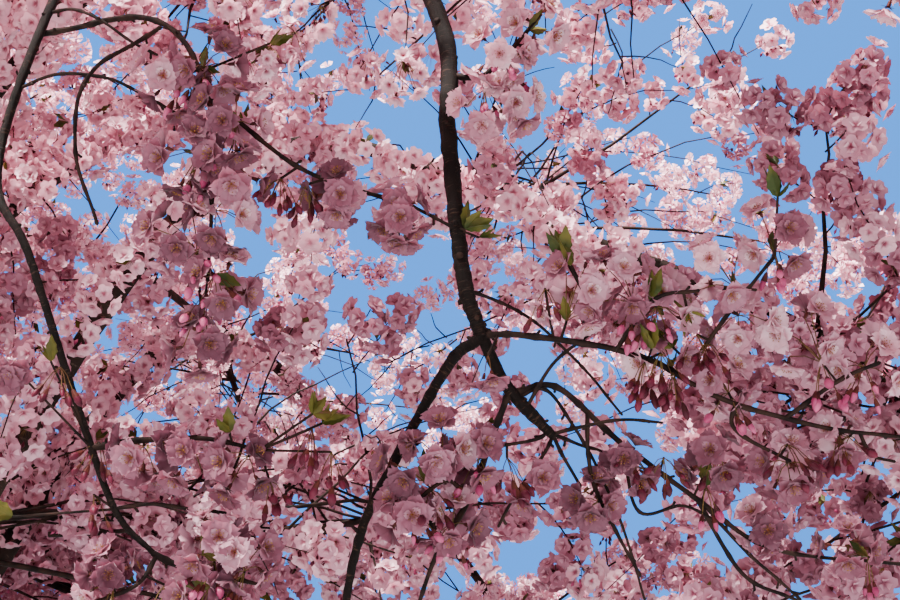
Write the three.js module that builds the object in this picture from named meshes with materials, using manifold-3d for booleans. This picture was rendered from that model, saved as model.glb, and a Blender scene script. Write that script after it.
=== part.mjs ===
// A small, spreading cherry tree in full double pink blossom, rooted in the ground.
// Millimetres, +Z up. The origin is the middle of the flat cut under the trunk, at ground level.
// The trunk, each bough and each mass of blossom is a solid of its own. A mass is a stem with
// seeded twigs that carry sprays of blossom, and it keeps to its own space in the crown.
import * as THREE from "three";
import { mergeVertices } from "three/addons/utils/BufferGeometryUtils.js";
import Module from "manifold-3d";

const wasm = await Module();
wasm.setup();

// The trunk, from the ground to the fork where the upper boughs part
const TRUNK_HEIGHT = 2350;
const TRUNK_LEAN = 70;
const TRUNK_RADII = [185, 134, 116, 108, 104, 99, 93, 82, 62];
const FLARE_LOBES = 5;
const FLARE_LOBE_DEPTH = 0.13;

// Each ring of boughs: how many, where the first one points in degrees from +X towards +Y, the
// distance from the trunk and the height of its knee, its arch and its tip, and its radius along it
const LOWER = { count: 8, first: -45, knee: [330, 2250], arch: [900, 3320], tip: [1720, 3120] };
const UPPER = { count: 8, first: -22.5, knee: [250, 3080], arch: [640, 3600], tip: [1150, 3770] };
const HIGH = { count: 4, first: 10, knee: [150, 3480], arch: [330, 3860], tip: [560, 4080] };
const LOWER_RADII = [42, 25, 16, 12];
const UPPER_RADII = [36, 22, 15, 12];
const HIGH_RADII = [24, 20, 16, 11];
const LEADER_RADII = [46, 36, 26, 13];
const LOWEST_BOUGH = 1480;
const BOUGH_STEP = 105;
const BOUGH_SWAY = 4;
const BOUGH_LIFT = 40;
const LEADER_HEIGHT = 4180;

// Each ring of blossom masses: its distance from the trunk and its height, half the width and half
// the height of one mass, and how many sprays one has
const SKIRT = { out: 2150, height: 2620, width: 800, rise: 640, sprays: 14 };
const SHOULDER = { out: 1700, height: 3590, width: 750, rise: 580, sprays: 13 };
const CAP = { out: 930, height: 4260, width: 700, rise: 520, sprays: 12 };
const TOP = { out: 40, height: 4700, width: 600, rise: 440, sprays: 10 };
const INNER = { count: 5, first: 22.5, out: 1050, height: 2720, width: 560, rise: 450, sprays: 9 };
// How far out in its mass a spray stands, as a share, and half of its length and of its width
const OUTER_SHELL = 0.84;
const INNER_SHELL = 0.45;
const SPRAY_LENGTH = 225;
const SPRAY_WIDTH = 165;
const SPRAY_TILT = [0.6, 0.5];

// A mass's stem, the stretch of it that carries twigs, and a twig's thickness as a share of the stem's
const STEM_RADII = [13, 11, 9, 6];
const FIRST_TWIG = 0.22;
const LAST_TWIG = 0.96;
const TWIG_SHARE = 0.6;
const TWIG_RADIUS = 6.6;

// The thin stems close by the eye, and where along them spurs of blossom can stand
const NEAR_STEM_RADII = [3.6, 3.2, 2.6, 1.8];
const NEAR_TWIG_RADII = [2.6, 2.2, 1.8];
const SPUR_SHARES = [0.13, 0.25, 0.37, 0.49, 0.61, 0.73, 0.85, 0.97];

// The place under the crown from which the hanging limb is seen, how far that looks up,
// and how far off the limb hangs. The crown is open between the two.
const EYE = new THREE.Vector3(1300, -2300, 1600);
const LOOK_UP = THREE.MathUtils.degToRad(32);
const SIGHT = 1450;
const CLEARING = { depth: 1750, halfWidth: 500, halfHeight: 345 };

const GOLDEN_ANGLE = Math.PI * (3 - Math.sqrt(5));
const JOINT_GAP = 0.4;
const CLEARANCE = 6;

// The balls that stand for a spray's space: how much of its reach the middle one takes, and how far
// out and how large the one at each corner is
const MIDDLE_BALL = 0.78;
const CORNER_PLACE = 0.85;
const CORNER_BALL = 0.24;
const TWIG_BALL_GAP = 18;

function finish(name, color, roughness) {
  return new THREE.MeshStandardMaterial({ name, color, roughness, metalness: 0 });
}
const BARK = finish("bark", 0x4a3a36, 0.85);
const YOUNG_BARK = finish("young_bark", 0x3a2a26, 0.7);
const BLOSSOM = finish("blossom", 0xe9b6c6, 0.8);

// Numbers from 0 to 1 that are the same on every run
function seeded(seed) {
  let state = seed;
  return () => {
    state = (state * 1664525 + 1013904223) % 4294967296;
    return state / 4294967296;
  };
}

function vector(x, y, z) {
  return new THREE.Vector3(x, y, z);
}

// A point at an angle round the trunk, in degrees from +X towards +Y
function around(degrees, radius, height) {
  const angle = THREE.MathUtils.degToRad(degrees);
  return vector(radius * Math.cos(angle), radius * Math.sin(angle), height);
}

// A point as it is seen from the eye: right and up of the middle of the view at the limb's distance,
// carried along its line of sight to another distance
function seen(right, up, away = SIGHT) {
  const scale = away / SIGHT;
  const forward = vector(0, Math.cos(LOOK_UP), Math.sin(LOOK_UP));
  const upward = vector(0, -Math.sin(LOOK_UP), Math.cos(LOOK_UP));
  return EYE.clone()
    .addScaledVector(vector(1, 0, 0), right * scale)
    .addScaledVector(upward, up * scale)
    .addScaledVector(forward, away);
}

// A line that bends smoothly through a few points, drawn as straight steps, with its radius along it
function bentLine(points, radii, sides, steps) {
  return { curve: new THREE.CatmullRomCurve3(points, false, "catmullrom", 0.5), radii, sides, steps };
}

// A point on the straight steps of a line
function pointOn(line, share) {
  const place = Math.min(Math.max(share, 0), 1) * line.steps;
  const first = Math.min(Math.floor(place), line.steps - 1);
  const next = line.curve.getPoint((first + 1) / line.steps);
  return line.curve.getPoint(first / line.steps).lerp(next, place - first);
}

function between(values, share) {
  const place = Math.min(Math.max(share, 0), 1) * (values.length - 1);
  const first = Math.min(Math.floor(place), values.length - 2);
  return values[first] + (values[first + 1] - values[first]) * (place - first);
}

function solid(geometry) {
  const source = geometry.index ? geometry.toNonIndexed() : geometry;
  const bare = new THREE.BufferGeometry().setAttribute("position", source.getAttribute("position"));
  const merged = mergeVertices(bare, 1e-3);
  const vertProperties = merged.attributes.position.array;
  const triVerts = new Uint32Array(merged.index.array);
  return new wasm.Manifold(new wasm.Mesh({ numProp: 3, vertProperties, triVerts }));
}

function geometryOf(made) {
  const mesh = made.getMesh();
  const positions = new Float32Array(mesh.numVert * 3);
  for (let i = 0; i < mesh.numVert; i++) {
    positions.set(mesh.vertProperties.subarray(i * mesh.numProp, i * mesh.numProp + 3), i * 3);
  }
  return new THREE.BufferGeometry()
    .setAttribute("position", new THREE.BufferAttribute(positions, 3))
    .setIndex(new THREE.BufferAttribute(new Uint32Array(mesh.triVerts), 1));
}

// A tapering limb: a cylinder bent along a line, with its radius set along it.
// lobes deepens the foot into root flares, and grow makes a slightly larger copy to cut with.
function limbSolid({ curve, radii, sides, steps }, { grow = 0, lobes = 0 } = {}) {
  const tube = new THREE.CylinderGeometry(1, 1, 1, sides, steps);
  const place = tube.getAttribute("position");
  const frames = [];
  let normal = vector(0.31, 0.17, 0.94);
  for (let i = 0; i <= steps; i++) {
    const share = i / steps;
    const tangent = curve.getTangent(share);
    normal = normal.clone().addScaledVector(tangent, -normal.dot(tangent)).normalize();
    const point = curve.getPoint(share);
    if (grow && i === 0) point.addScaledVector(tangent, -grow);
    if (grow && i === steps) point.addScaledVector(tangent, grow);
    frames.push({ point, normal, side: tangent.clone().cross(normal), radius: between(radii, share) + grow });
  }
  for (let i = 0; i < place.count; i++) {
    const frame = frames[Math.round((0.5 + place.getY(i)) * steps)];
    const turn = Math.atan2(place.getZ(i), place.getX(i));
    const flare = lobes * Math.max(0, 1 - (0.5 + place.getY(i)) * 4) * Math.cos(FLARE_LOBES * turn);
    const wide = frame.radius * Math.hypot(place.getX(i), place.getZ(i)) * (1 + flare);
    const put = frame.point
      .clone()
      .addScaledVector(frame.normal, wide * Math.cos(turn))
      .addScaledVector(frame.side, -wide * Math.sin(turn));
    place.setXYZ(i, put.x, put.y, put.z);
  }
  const made = solid(tube);
  if (made.volume() > 0) return made;
  tube.index.array.reverse();
  return solid(tube);
}

// A straight twig that tapers to a point, from inside what carries it to inside its spray
function twigSolid(from, to, radius) {
  const along = to.clone().sub(from);
  const cone = new THREE.ConeGeometry(radius, along.length(), 3, 1);
  const turn = new THREE.Quaternion().setFromUnitVectors(vector(0, 1, 0), along.clone().normalize());
  const middle = from.clone().addScaledVector(along, 0.5);
  cone.applyMatrix4(new THREE.Matrix4().compose(middle, turn, vector(1, 1, 1)));
  return solid(cone);
}

// Where an octahedron stands as a spray of blossom: longer along its twig, and tilted so that the
// twig enters through a face
function sprayPlace(at, along, length, width, roll) {
  const turn = new THREE.Quaternion().setFromUnitVectors(vector(0, 1, 0), along.clone().normalize());
  const tilt = new THREE.Matrix4().makeRotationFromEuler(new THREE.Euler(SPRAY_TILT[0], roll, SPRAY_TILT[1]));
  return new THREE.Matrix4().compose(at, turn, vector(width, length, width)).multiply(tilt);
}

function spraySolid(place) {
  return solid(new THREE.OctahedronGeometry(1, 0).applyMatrix4(place));
}

// A slightly larger copy of every limb, and the balls of space that limbs and masses already fill
const limbCutters = [];
const filled = [];
const tree = new THREE.Group();
tree.name = "cherry_tree";

function addMesh(name, made, material) {
  const mesh = new THREE.Mesh(geometryOf(made), material);
  mesh.name = name;
  tree.add(mesh);
}

function fillAlong(line, owner, gap) {
  const count = Math.ceil(line.curve.getLength() / gap);
  for (let i = 0; i <= count; i++) {
    filled.push({ at: pointOn(line, i / count), radius: between(line.radii, i / count), owner });
  }
}

function isClear(at, radius, owner) {
  const room = radius + CLEARANCE;
  return filled.every((ball) => ball.owner === owner || ball.at.distanceTo(at) > ball.radius + room);
}

// True where a ball would stand in the open space before the hanging limb
function inClearing(at, radius) {
  const forward = vector(0, Math.cos(LOOK_UP), Math.sin(LOOK_UP));
  const upward = vector(0, -Math.sin(LOOK_UP), Math.cos(LOOK_UP));
  const line = at.clone().sub(EYE);
  const away = line.dot(forward);
  if (away < -radius || away > CLEARING.depth + radius) return false;
  const spread = Math.max(away, 0) / SIGHT;
  const wide = Math.abs(line.x) < CLEARING.halfWidth * spread + radius;
  return wide && Math.abs(line.dot(upward)) < CLEARING.halfHeight * spread + radius;
}

// Cuts a solid clear of every limb made so far and drops any loose scrap
function cutClear(made) {
  let left = made;
  for (const cutter of limbCutters) left = left.subtract(cutter);
  return left.decompose().reduce((largest, piece) => (piece.volume() > largest.volume() ? piece : largest));
}

function addLimb(name, points, radii, { sides = 6, steps = 6, lobes = 0, young = false } = {}) {
  const line = bentLine(points, radii, sides, steps);
  const whole = limbSolid(line, { lobes });
  addMesh(name, limbCutters.length ? cutClear(whole) : whole, young ? YOUNG_BARK : BARK);
  limbCutters.push(limbSolid(line, { lobes, grow: JOINT_GAP }));
  fillAlong(line, name, 40);
  return line;
}

// Joins a stem, its bent twigs and its sprays, and cuts the mass clear of the limbs
function addMass(name, pieces) {
  const joined = pieces.reduce((sum, piece) => sum.add(piece));
  addMesh(name, cutClear(joined), BLOSSOM);
}

// The balls that a spray lies in: one round its middle and one towards each corner
function spraySpace(place) {
  const middle = vector(0, 0, 0).applyMatrix4(place);
  const corners = [0, 1, 2].flatMap((axis) => [-1, 1].map((way) => vector(0, 0, 0).setComponent(axis, way)));
  const tips = corners.map((corner) => corner.applyMatrix4(place).sub(middle));
  const reach = tips.reduce((sum, tip) => sum + tip.length(), 0) / tips.length;
  const ends = tips.map((tip) => {
    return { at: middle.clone().addScaledVector(tip, CORNER_PLACE), radius: CORNER_BALL * tip.length() };
  });
  return [{ at: middle, radius: MIDDLE_BALL * reach }, ...ends];
}

function fits(space, owner) {
  return space.every((ball) => isClear(ball.at, ball.radius, owner));
}

// The points of a straight twig, close enough together that nothing passes between them
function twigSpace(from, to) {
  const count = Math.ceil(from.distanceTo(to) / TWIG_BALL_GAP);
  const space = [];
  for (let i = 1; i < count; i++) space.push({ at: from.clone().lerp(to, i / count), radius: TWIG_RADIUS });
  return space;
}

// The stems of the crown's masses are laid out first, so that no spray grows into another's stem.
// A stem goes on from the tip of its bough, through the middle of the mass, and hangs at its end.
const crownMasses = [];
function planMass(name, holder, share, centre, ring, seed) {
  const root = pointOn(holder, share);
  const across = centre.clone().sub(root);
  const heading = holder.curve.getTangent(share).multiplyScalar(0.3 * across.length());
  const bend = root.clone().add(heading).addScaledVector(across, 0.3);
  const end = centre.clone().addScaledVector(across, 0.3);
  end.z -= 0.2 * ring.rise;
  const stem = bentLine([root, bend, centre, end], STEM_RADII, 4, 4);
  fillAlong(stem, name, 30);
  crownMasses.push({ name, root, stem, centre, ring, seed });
}

// One mass by the crown's rule: sprays spaced evenly by the golden angle round the middle of the
// mass, each on a twig of its own. The twigs leave the stem one after another, highest spray first
// where the stem hangs and lowest first where it climbs.
function growMass({ name, root, stem, centre, ring, seed }) {
  const random = seeded(seed);
  const phase = random() * 2 * Math.PI;
  const climbs = pointOn(stem, 1).z > root.z;
  const pieces = [limbSolid(stem)];
  for (let i = 0; i < ring.sprays; i++) {
    const rise = 1 - (2 * (i + 0.5)) / ring.sprays;
    const turn = phase + i * GOLDEN_ANGLE;
    const shell = (i % 3 ? OUTER_SHELL : INNER_SHELL) * (0.92 + 0.16 * random());
    const flat = Math.sqrt(1 - rise * rise) * shell * ring.width;
    const length = SPRAY_LENGTH * (0.85 + 0.3 * random());
    const width = SPRAY_WIDTH * (0.85 + 0.3 * random());
    const roll = random() * Math.PI;
    const offset = vector(flat * Math.cos(turn), flat * Math.sin(turn), rise * shell * ring.rise);
    const at = centre.clone().add(offset);
    const order = climbs ? 0.5 + 0.5 * rise : 0.5 - 0.5 * rise;
    const share = FIRST_TWIG + (LAST_TWIG - FIRST_TWIG) * order;
    const from = pointOn(stem, share);
    const along = at.clone().sub(from);
    const tip = at.clone().addScaledVector(along.clone().normalize(), 0.2 * length);
    const place = sprayPlace(at, along, length, width, roll);
    const spray = spraySpace(place);
    const twig = twigSpace(from, tip);
    if (inClearing(at, width) || !fits(spray, name) || !fits(twig, name)) continue;
    pieces.push(twigSolid(from, tip, TWIG_SHARE * between(STEM_RADII, share)), spraySolid(place));
    for (const ball of [...spray, ...twig]) filled.push({ ...ball, owner: name });
  }
  addMass(name, pieces);
}

// A mass that hangs close by the eye: a stem and side twigs through given points of the view, and
// clusters of blossom on short spurs from whichever of them is nearest
function addNearMass({ name, holder, share, way, twigs, clusters }) {
  const through = (from, places) => [from, ...places.map((place) => seen(...place))];
  const stem = bentLine(through(pointOn(holder, share), way), NEAR_STEM_RADII, 4, 6);
  const sides = twigs.map(([start, ...places]) => {
    return bentLine(through(pointOn(stem, start), places), NEAR_TWIG_RADII, 3, 3);
  });
  const lines = [stem, ...sides];
  const spurs = lines.flatMap((line) => {
    return SPUR_SHARES.map((spur) => ({
      point: pointOn(line, spur),
      radius: TWIG_SHARE * between(line.radii, spur),
    }));
  });
  const pieces = lines.map((line) => limbSolid(line));
  for (const [right, up, size, away] of clusters) {
    const at = seen(right, up, away);
    const { point: from, radius } = spurs.reduce((near, spur) => {
      return spur.point.distanceTo(at) < near.point.distanceTo(at) ? spur : near;
    });
    const along = at.clone().sub(from);
    const place = sprayPlace(at, along, size, 0.8 * size, 0.4);
    const space = spraySpace(place);
    if (!fits(space, name)) continue;
    pieces.push(twigSolid(from, at.clone().addScaledVector(along.normalize(), 0.2 * size), radius));
    pieces.push(spraySolid(place));
    for (const ball of space) filled.push({ ...ball, owner: name });
  }
  for (const line of lines) fillAlong(line, name, 15);
  addMass(name, pieces);
}

// The trunk stands straight out of the ground and then leans a little
const lean = (share, height) => vector(share * TRUNK_LEAN, -0.4 * share * TRUNK_LEAN, height * TRUNK_HEIGHT);
const trunkWay = [lean(0, 0), lean(0, 0.25), lean(0.6, 0.5), lean(1, 0.75), lean(0.8, 1)];
const trunk = addLimb("trunk", trunkWay, TRUNK_RADII, { sides: 15, steps: 10, lobes: FLARE_LOBE_DEPTH });
const trunkAt = (height) => pointOn(trunk, height / TRUNK_HEIGHT);

// A ring of boughs. Each one climbs from its holder, bends over its arch and levels off at its tip.
function addRing(name, ring, radii, startOf) {
  const boughs = [];
  for (let i = 0; i < ring.count; i++) {
    const turn = ring.first + (360 / ring.count) * i;
    const sway = BOUGH_SWAY * Math.sin(2.4 * i);
    const lift = BOUGH_LIFT * Math.sin(1.7 * i);
    const points = [
      startOf(i),
      around(turn - 5 + sway, ring.knee[0], ring.knee[1] + lift),
      around(turn - 3, ring.arch[0], ring.arch[1] + lift),
      around(turn, ring.tip[0], ring.tip[1]),
    ];
    boughs.push({ turn, limb: addLimb(`${name}_${i + 1}`, points, radii) });
  }
  return boughs;
}

const leaderWay = [
  trunkAt(TRUNK_HEIGHT - 30),
  vector(75, 10, 3000),
  vector(45, 5, 3600),
  vector(30, -10, LEADER_HEIGHT),
];
const leader = addLimb("leader", leaderWay, LEADER_RADII);
const lowerBoughs = addRing("lower_bough", LOWER, LOWER_RADII, (i) => {
  return trunkAt(LOWEST_BOUGH + BOUGH_STEP * ((3 * i) % LOWER.count));
});
const upperBoughs = addRing("upper_bough", UPPER, UPPER_RADII, (i) => {
  return trunkAt(TRUNK_HEIGHT - 60 - 30 * (i % 2));
});
const highBoughs = addRing("high_bough", HIGH, HIGH_RADII, (i) => pointOn(leader, 0.3 + 0.05 * i));

// The limb that hangs in the middle of the view, its two branches below the fork,
// and the limb that trails down on the left
const carrier = lowerBoughs[0].limb;
const hangingLimb = addLimb(
  "hanging_limb",
  [
    pointOn(carrier, 0.93),
    seen(-19, 316, 1640),
    seen(-2, 175, 1540),
    seen(14, 25, 1470),
    seen(34, -40, 1450),
  ],
  [12, 10.5, 9.5, 8.5, 7.5],
  { steps: 9, young: true },
);
addLimb(
  "hanging_limb_left_branch",
  [
    seen(34, -38, 1450),
    seen(0, -66, 1446),
    seen(-45, -145, 1440),
    seen(-94, -246, 1430),
    seen(-118, -365, 1420),
  ],
  [6.4, 6, 5.4, 4.8, 4],
  { steps: 7, young: true },
);
const rightBranch = addLimb(
  "hanging_limb_right_branch",
  [seen(34, -38, 1450), seen(56, -85, 1452), seen(84, -118, 1455), seen(109, -143, 1458)],
  [6.6, 6.2, 7, 4.5],
  { steps: 6, young: true },
);
const trailingLimb = addLimb(
  "trailing_limb",
  [
    pointOn(carrier, 0.78),
    seen(-417, 316, 1650),
    seen(-476, 140, 1530),
    seen(-443, 47, 1470),
    seen(-390, -118, 1450),
    seen(-352, -222, 1430),
    seen(-313, -266, 1420),
  ],
  [8.5, 5.5, 4.8, 4.2, 3.7, 2.8],
  { steps: 12, young: true },
);

// Where every mass of the crown stands. The rings are a little uneven, as a real crown is.
function planRing(name, boughs, ring, seed) {
  boughs.forEach(({ turn, limb }, i) => {
    const out = ring.out + 0.03 * ring.out * Math.sin(2 * i);
    const height = ring.height + 80 * Math.sin(1.3 * i + seed);
    planMass(`${name}_${i + 1}`, limb, 1, around(turn, out, height), ring, seed + i);
  });
}
planRing("skirt_blossom", lowerBoughs, SKIRT, 101);
planRing("shoulder_blossom", upperBoughs, SHOULDER, 201);
planRing("cap_blossom", highBoughs, CAP, 301);
planMass("top_blossom", leader, 1, around(0, TOP.out, TOP.height), TOP, 401);
for (let i = 0; i < INNER.count; i++) {
  const centre = around(INNER.first + 45 * i, INNER.out, INNER.height + 60 * Math.sin(1.5 * i));
  planMass(`inner_blossom_${i + 1}`, trunk, 0.86 + 0.02 * i, centre, INNER, 501 + i);
}

// The masses that hang close by the eye. Each place is right, up and away, in the view.
addNearMass({
  name: "near_blossom_top",
  holder: hangingLimb,
  share: 0.38,
  way: [[34, 236, 1560], [62, 262, 1550], [96, 300, 1545]],
  twigs: [],
  clusters: [[36, 196, 30, 1540], [52, 258, 32, 1545], [66, 208, 27, 1550], [88, 286, 28, 1545]],
});
addNearMass({
  name: "near_blossom_right",
  holder: hangingLimb,
  share: 0.985,
  way: [[84, -38, 1446], [200, -59, 1440], [288, -105, 1432], [400, -135, 1430], [500, -146, 1430]],
  twigs: [
    [0.62, [300, -136, 1432], [358, -170, 1436]],
    [0.36, [214, 0, 1420], [262, 10, 1416]],
    [0.5, [300, -6, 1424], [342, 46, 1420]],
    [0.72, [410, -84, 1424], [452, -66, 1420]],
  ],
  clusters: [
    [132, 8, 34], [176, 12, 36], [222, -10, 32], [226, -60, 28], [284, 26, 34], [342, 62, 38], [312, -26, 32],
    [366, -34, 36], [432, -70, 40], [288, -88, 24], [356, -176, 30], [414, -150, 24],
  ],
});
addNearMass({
  name: "near_blossom_low_right",
  holder: rightBranch,
  share: 0.45,
  way: [[112, -92, 1480], [180, -150, 1500], [263, -212, 1520], [340, -262, 1540], [474, -278, 1560]],
  twigs: [
    [0.6, [310, -290, 1530], [370, -318, 1540]],
    [0.3, [150, -190, 1470], [200, -290, 1460]],
  ],
  clusters: [
    [186, -176, 26, 1490], [276, -168, 28, 1500], [330, -240, 24, 1530], [150, -214, 22, 1470],
    [420, -262, 26, 1550],
  ],
});
addNearMass({
  name: "near_blossom_centre",
  holder: rightBranch,
  share: 0.42,
  way: [[50, -130, 1440], [20, -210, 1425], [-15, -270, 1418], [-36, -330, 1412]],
  twigs: [[0.5, [-4, -190, 1410], [-40, -216, 1405]]],
  clusters: [
    [-10, -156, 28, 1412], [20, -166, 26, 1420], [-38, -178, 26, 1405], [-42, -226, 26, 1405],
    [0, -236, 28, 1412],
  ],
});
addNearMass({
  name: "near_blossom_left",
  holder: trailingLimb,
  share: 0.2,
  way: [[-317, 296, 1560], [-262, 240, 1490], [-250, 150, 1440], [-255, 20, 1420]],
  twigs: [
    [0.56, [-160, 140, 1450], [-50, 102, 1480], [4, 76, 1486]],
    [0.3, [-380, 236, 1500], [-394, 160, 1490], [-372, 80, 1490]],
  ],
  clusters: [
    [-254, 248, 34, 1470], [-298, 228, 30, 1480], [-234, 184, 32, 1440], [-276, 150, 34, 1436],
    [-232, 136, 30, 1432], [-284, 66, 34, 1426], [-240, 84, 30, 1424], [-240, 10, 30, 1420],
    [-262, -46, 28, 1416], [-54, 94, 26, 1478], [-118, 112, 24, 1462],
  ],
});
addNearMass({
  name: "near_blossom_low_left",
  holder: trailingLimb,
  share: 1,
  way: [[-280, -282, 1416], [-240, -290, 1410], [-200, -300, 1405]],
  twigs: [[0.05, [-330, -300, 1400], [-380, -320, 1395]]],
  clusters: [
    [-300, -240, 26, 1410], [-250, -256, 26, 1408], [-214, -272, 24, 1405], [-360, -290, 28, 1398],
    [-260, -318, 26, 1408],
  ],
});
addNearMass({
  name: "near_blossom_left_side",
  holder: trailingLimb,
  share: 0.72,
  way: [[-330, -148, 1446], [-260, -146, 1440], [-200, -158, 1436]],
  twigs: [],
  clusters: [[-322, -164, 28, 1440], [-272, -166, 28, 1436], [-222, -176, 28, 1430]],
});

crownMasses.forEach(growMass);

export default tree;
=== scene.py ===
# A spreading ornamental cherry in full double pink blossom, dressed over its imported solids.
# Metres, +Z up. The origin is the middle of the flat cut under the trunk, at ground level.
# The limbs and masses follow the named sizes and the seeded rule of the part's source, and the
# blossom is carried on from there along finer twigs.
import math

import bpy
import numpy as np
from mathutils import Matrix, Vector, noise


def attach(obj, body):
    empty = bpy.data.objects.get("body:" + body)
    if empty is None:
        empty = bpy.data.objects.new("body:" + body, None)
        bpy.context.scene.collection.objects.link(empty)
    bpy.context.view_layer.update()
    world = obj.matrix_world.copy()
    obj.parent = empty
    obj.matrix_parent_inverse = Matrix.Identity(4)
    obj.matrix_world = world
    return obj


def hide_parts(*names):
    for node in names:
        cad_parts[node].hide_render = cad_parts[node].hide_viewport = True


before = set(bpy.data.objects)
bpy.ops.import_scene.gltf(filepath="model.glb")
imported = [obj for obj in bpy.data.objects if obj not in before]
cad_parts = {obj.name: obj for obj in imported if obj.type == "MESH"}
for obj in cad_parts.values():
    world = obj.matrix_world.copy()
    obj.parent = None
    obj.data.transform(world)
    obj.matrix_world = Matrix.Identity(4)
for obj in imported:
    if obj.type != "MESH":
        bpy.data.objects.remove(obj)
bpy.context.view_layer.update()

# The trunk, from the ground to the fork where the upper boughs part
TRUNK_HEIGHT = 2.35
TRUNK_LEAN = 0.07
TRUNK_RADII = [0.185, 0.134, 0.116, 0.108, 0.104, 0.099, 0.093, 0.082, 0.062]
FLARE_LOBES = 5
FLARE_LOBE_DEPTH = 0.13

# Each ring of boughs: how many, where the first one points in degrees from +X towards +Y, the
# distance from the trunk and the height of its knee, its arch and its tip, and its radius along it
LOWER = {"count": 8, "first": -45, "knee": (0.33, 2.25), "arch": (0.9, 3.32), "tip": (1.72, 3.12)}
UPPER = {"count": 8, "first": -22.5, "knee": (0.25, 3.08), "arch": (0.64, 3.6), "tip": (1.15, 3.77)}
HIGH = {"count": 4, "first": 10, "knee": (0.15, 3.48), "arch": (0.33, 3.86), "tip": (0.56, 4.08)}
LOWER_RADII = [0.042, 0.025, 0.016, 0.012]
UPPER_RADII = [0.036, 0.022, 0.015, 0.012]
HIGH_RADII = [0.024, 0.02, 0.016, 0.011]
LEADER_RADII = [0.046, 0.036, 0.026, 0.013]
LOWEST_BOUGH = 1.48
BOUGH_STEP = 0.105
BOUGH_SWAY = 4
BOUGH_LIFT = 0.04
LEADER_HEIGHT = 4.18

# Each ring of blossom masses: its distance from the trunk and its height, half the width and half
# the height of one mass, and how many sprays one has
SKIRT = {"out": 2.15, "height": 2.62, "width": 0.8, "rise": 0.64, "sprays": 14}
SHOULDER = {"out": 1.7, "height": 3.59, "width": 0.75, "rise": 0.58, "sprays": 13}
CAP = {"out": 0.93, "height": 4.26, "width": 0.7, "rise": 0.52, "sprays": 12}
TOP = {"out": 0.04, "height": 4.7, "width": 0.6, "rise": 0.44, "sprays": 10}
INNER = {"out": 1.05, "height": 2.72, "width": 0.56, "rise": 0.45, "sprays": 9}
INNER_COUNT = 5
INNER_FIRST = 22.5

# How far out in its mass a spray stands, as a share, and half of its length and of its width
OUTER_SHELL = 0.84
INNER_SHELL = 0.45
SPRAY_LENGTH = 0.225
SPRAY_WIDTH = 0.165
SPRAY_TILT = (0.6, 0.5)

# A mass's stem, the stretch of it that carries twigs, and a twig's thickness as a share of the stem's
STEM_RADII = [0.013, 0.011, 0.009, 0.006]
FIRST_TWIG = 0.22
LAST_TWIG = 0.96
TWIG_SHARE = 0.6
TWIG_RADIUS = 0.0066

# The thin stems close by the eye, and where along them spurs of blossom can stand
NEAR_STEM_RADII = [0.0036, 0.0032, 0.0026, 0.0018]
NEAR_TWIG_RADII = [0.0026, 0.0022, 0.0018]
SPUR_SHARES = [0.13, 0.25, 0.37, 0.49, 0.61, 0.73, 0.85, 0.97]

# The place under the crown from which the hanging limb is seen, how far that looks up,
# and how far off the limb hangs. The crown is open between the two.
EYE = np.array([1.3, -2.3, 1.6])
LOOK_UP = math.radians(32)
SIGHT = 1.45
CLEARING = {"depth": 1.75, "half_width": 0.5, "half_height": 0.345}
NEAREST_IN_VIEW = 0.5
RIGHTWARD = np.array([1.0, 0.0, 0.0])
FORWARD = np.array([0.0, math.cos(LOOK_UP), math.sin(LOOK_UP)])
UPWARD = np.array([0.0, -math.sin(LOOK_UP), math.cos(LOOK_UP)])
DOWN = np.array([0.0, 0.0, -1.0])

# The lens takes in 0.95 m by 0.63 m at the hanging limb's distance
SENSOR_WIDTH = 36.0
LENS = 55.1

# A space that is taken is a row of balls, and balls of different owners stay a clearance apart.
# A spray has a ball round its middle and one towards each corner, as shares of its half lengths.
# A line has a ball at every gap along it.
CLEARANCE = 0.006
MIDDLE_BALL = 0.78
CORNER_PLACE = 0.85
CORNER_BALL = 0.24
TWIG_BALL_GAP = 0.018
LIMB_BALL_GAP = 0.04
STEM_BALL_GAP = 0.03
NEAR_BALL_GAP = 0.015
MOST_BALLS = 40000

# Things follow one another by the golden angle, and are spun at random by a little over a whole turn
GOLDEN_ANGLE = math.pi * (3 - math.sqrt(5))
ANY_TURN = 6.3

# Blossom. A flower is 40 mm across, on a stalk of 25 to 35 mm that meets it 8.5 mm behind its middle,
# and a spur's clump of flowers reaches 43 mm from the clump's middle.
FLOWER_RADIUS = 0.02
STALK_LENGTH = 0.03
STALK_RADIUS = 0.0006
NEAR_STALK_RADIUS = 0.0007
CUP_DEPTH = 0.0085
CLUMP_REACH = 0.043

# The most triangles in one joined piece
MOST_TRIANGLES = 190000


def seeded(seed):
    """Numbers from 0 to 1 that are the same on every run."""
    state = seed

    def draw():
        nonlocal state
        state = (state * 1664525 + 1013904223) % 4294967296
        return state / 4294967296

    return draw


def unit(vector):
    return vector / np.linalg.norm(vector)


def units(ways):
    """The same directions, each of length one."""
    return ways / np.linalg.norm(ways, axis=1, keepdims=True)


def around(degrees, radius, height):
    """A point at an angle round the trunk, in degrees from +X towards +Y."""
    angle = math.radians(degrees)
    return np.array([radius * math.cos(angle), radius * math.sin(angle), height])


def seen(right, up, away=SIGHT):
    """A point as it is seen from the eye: right and up of the middle of the view at the limb's
    distance, carried along its line of sight to another distance."""
    scale = away / SIGHT
    return EYE + RIGHTWARD * right * scale + UPWARD * up * scale + FORWARD * away


def seen_way(start, places):
    """A way that goes on from its start through places as they are seen from the eye."""
    return [start, *(seen(*place) for place in places)]


def between(values, share):
    place = min(max(share, 0), 1) * (len(values) - 1)
    first = min(int(place), len(values) - 2)
    return values[first] + (values[first + 1] - values[first]) * (place - first)


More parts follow.
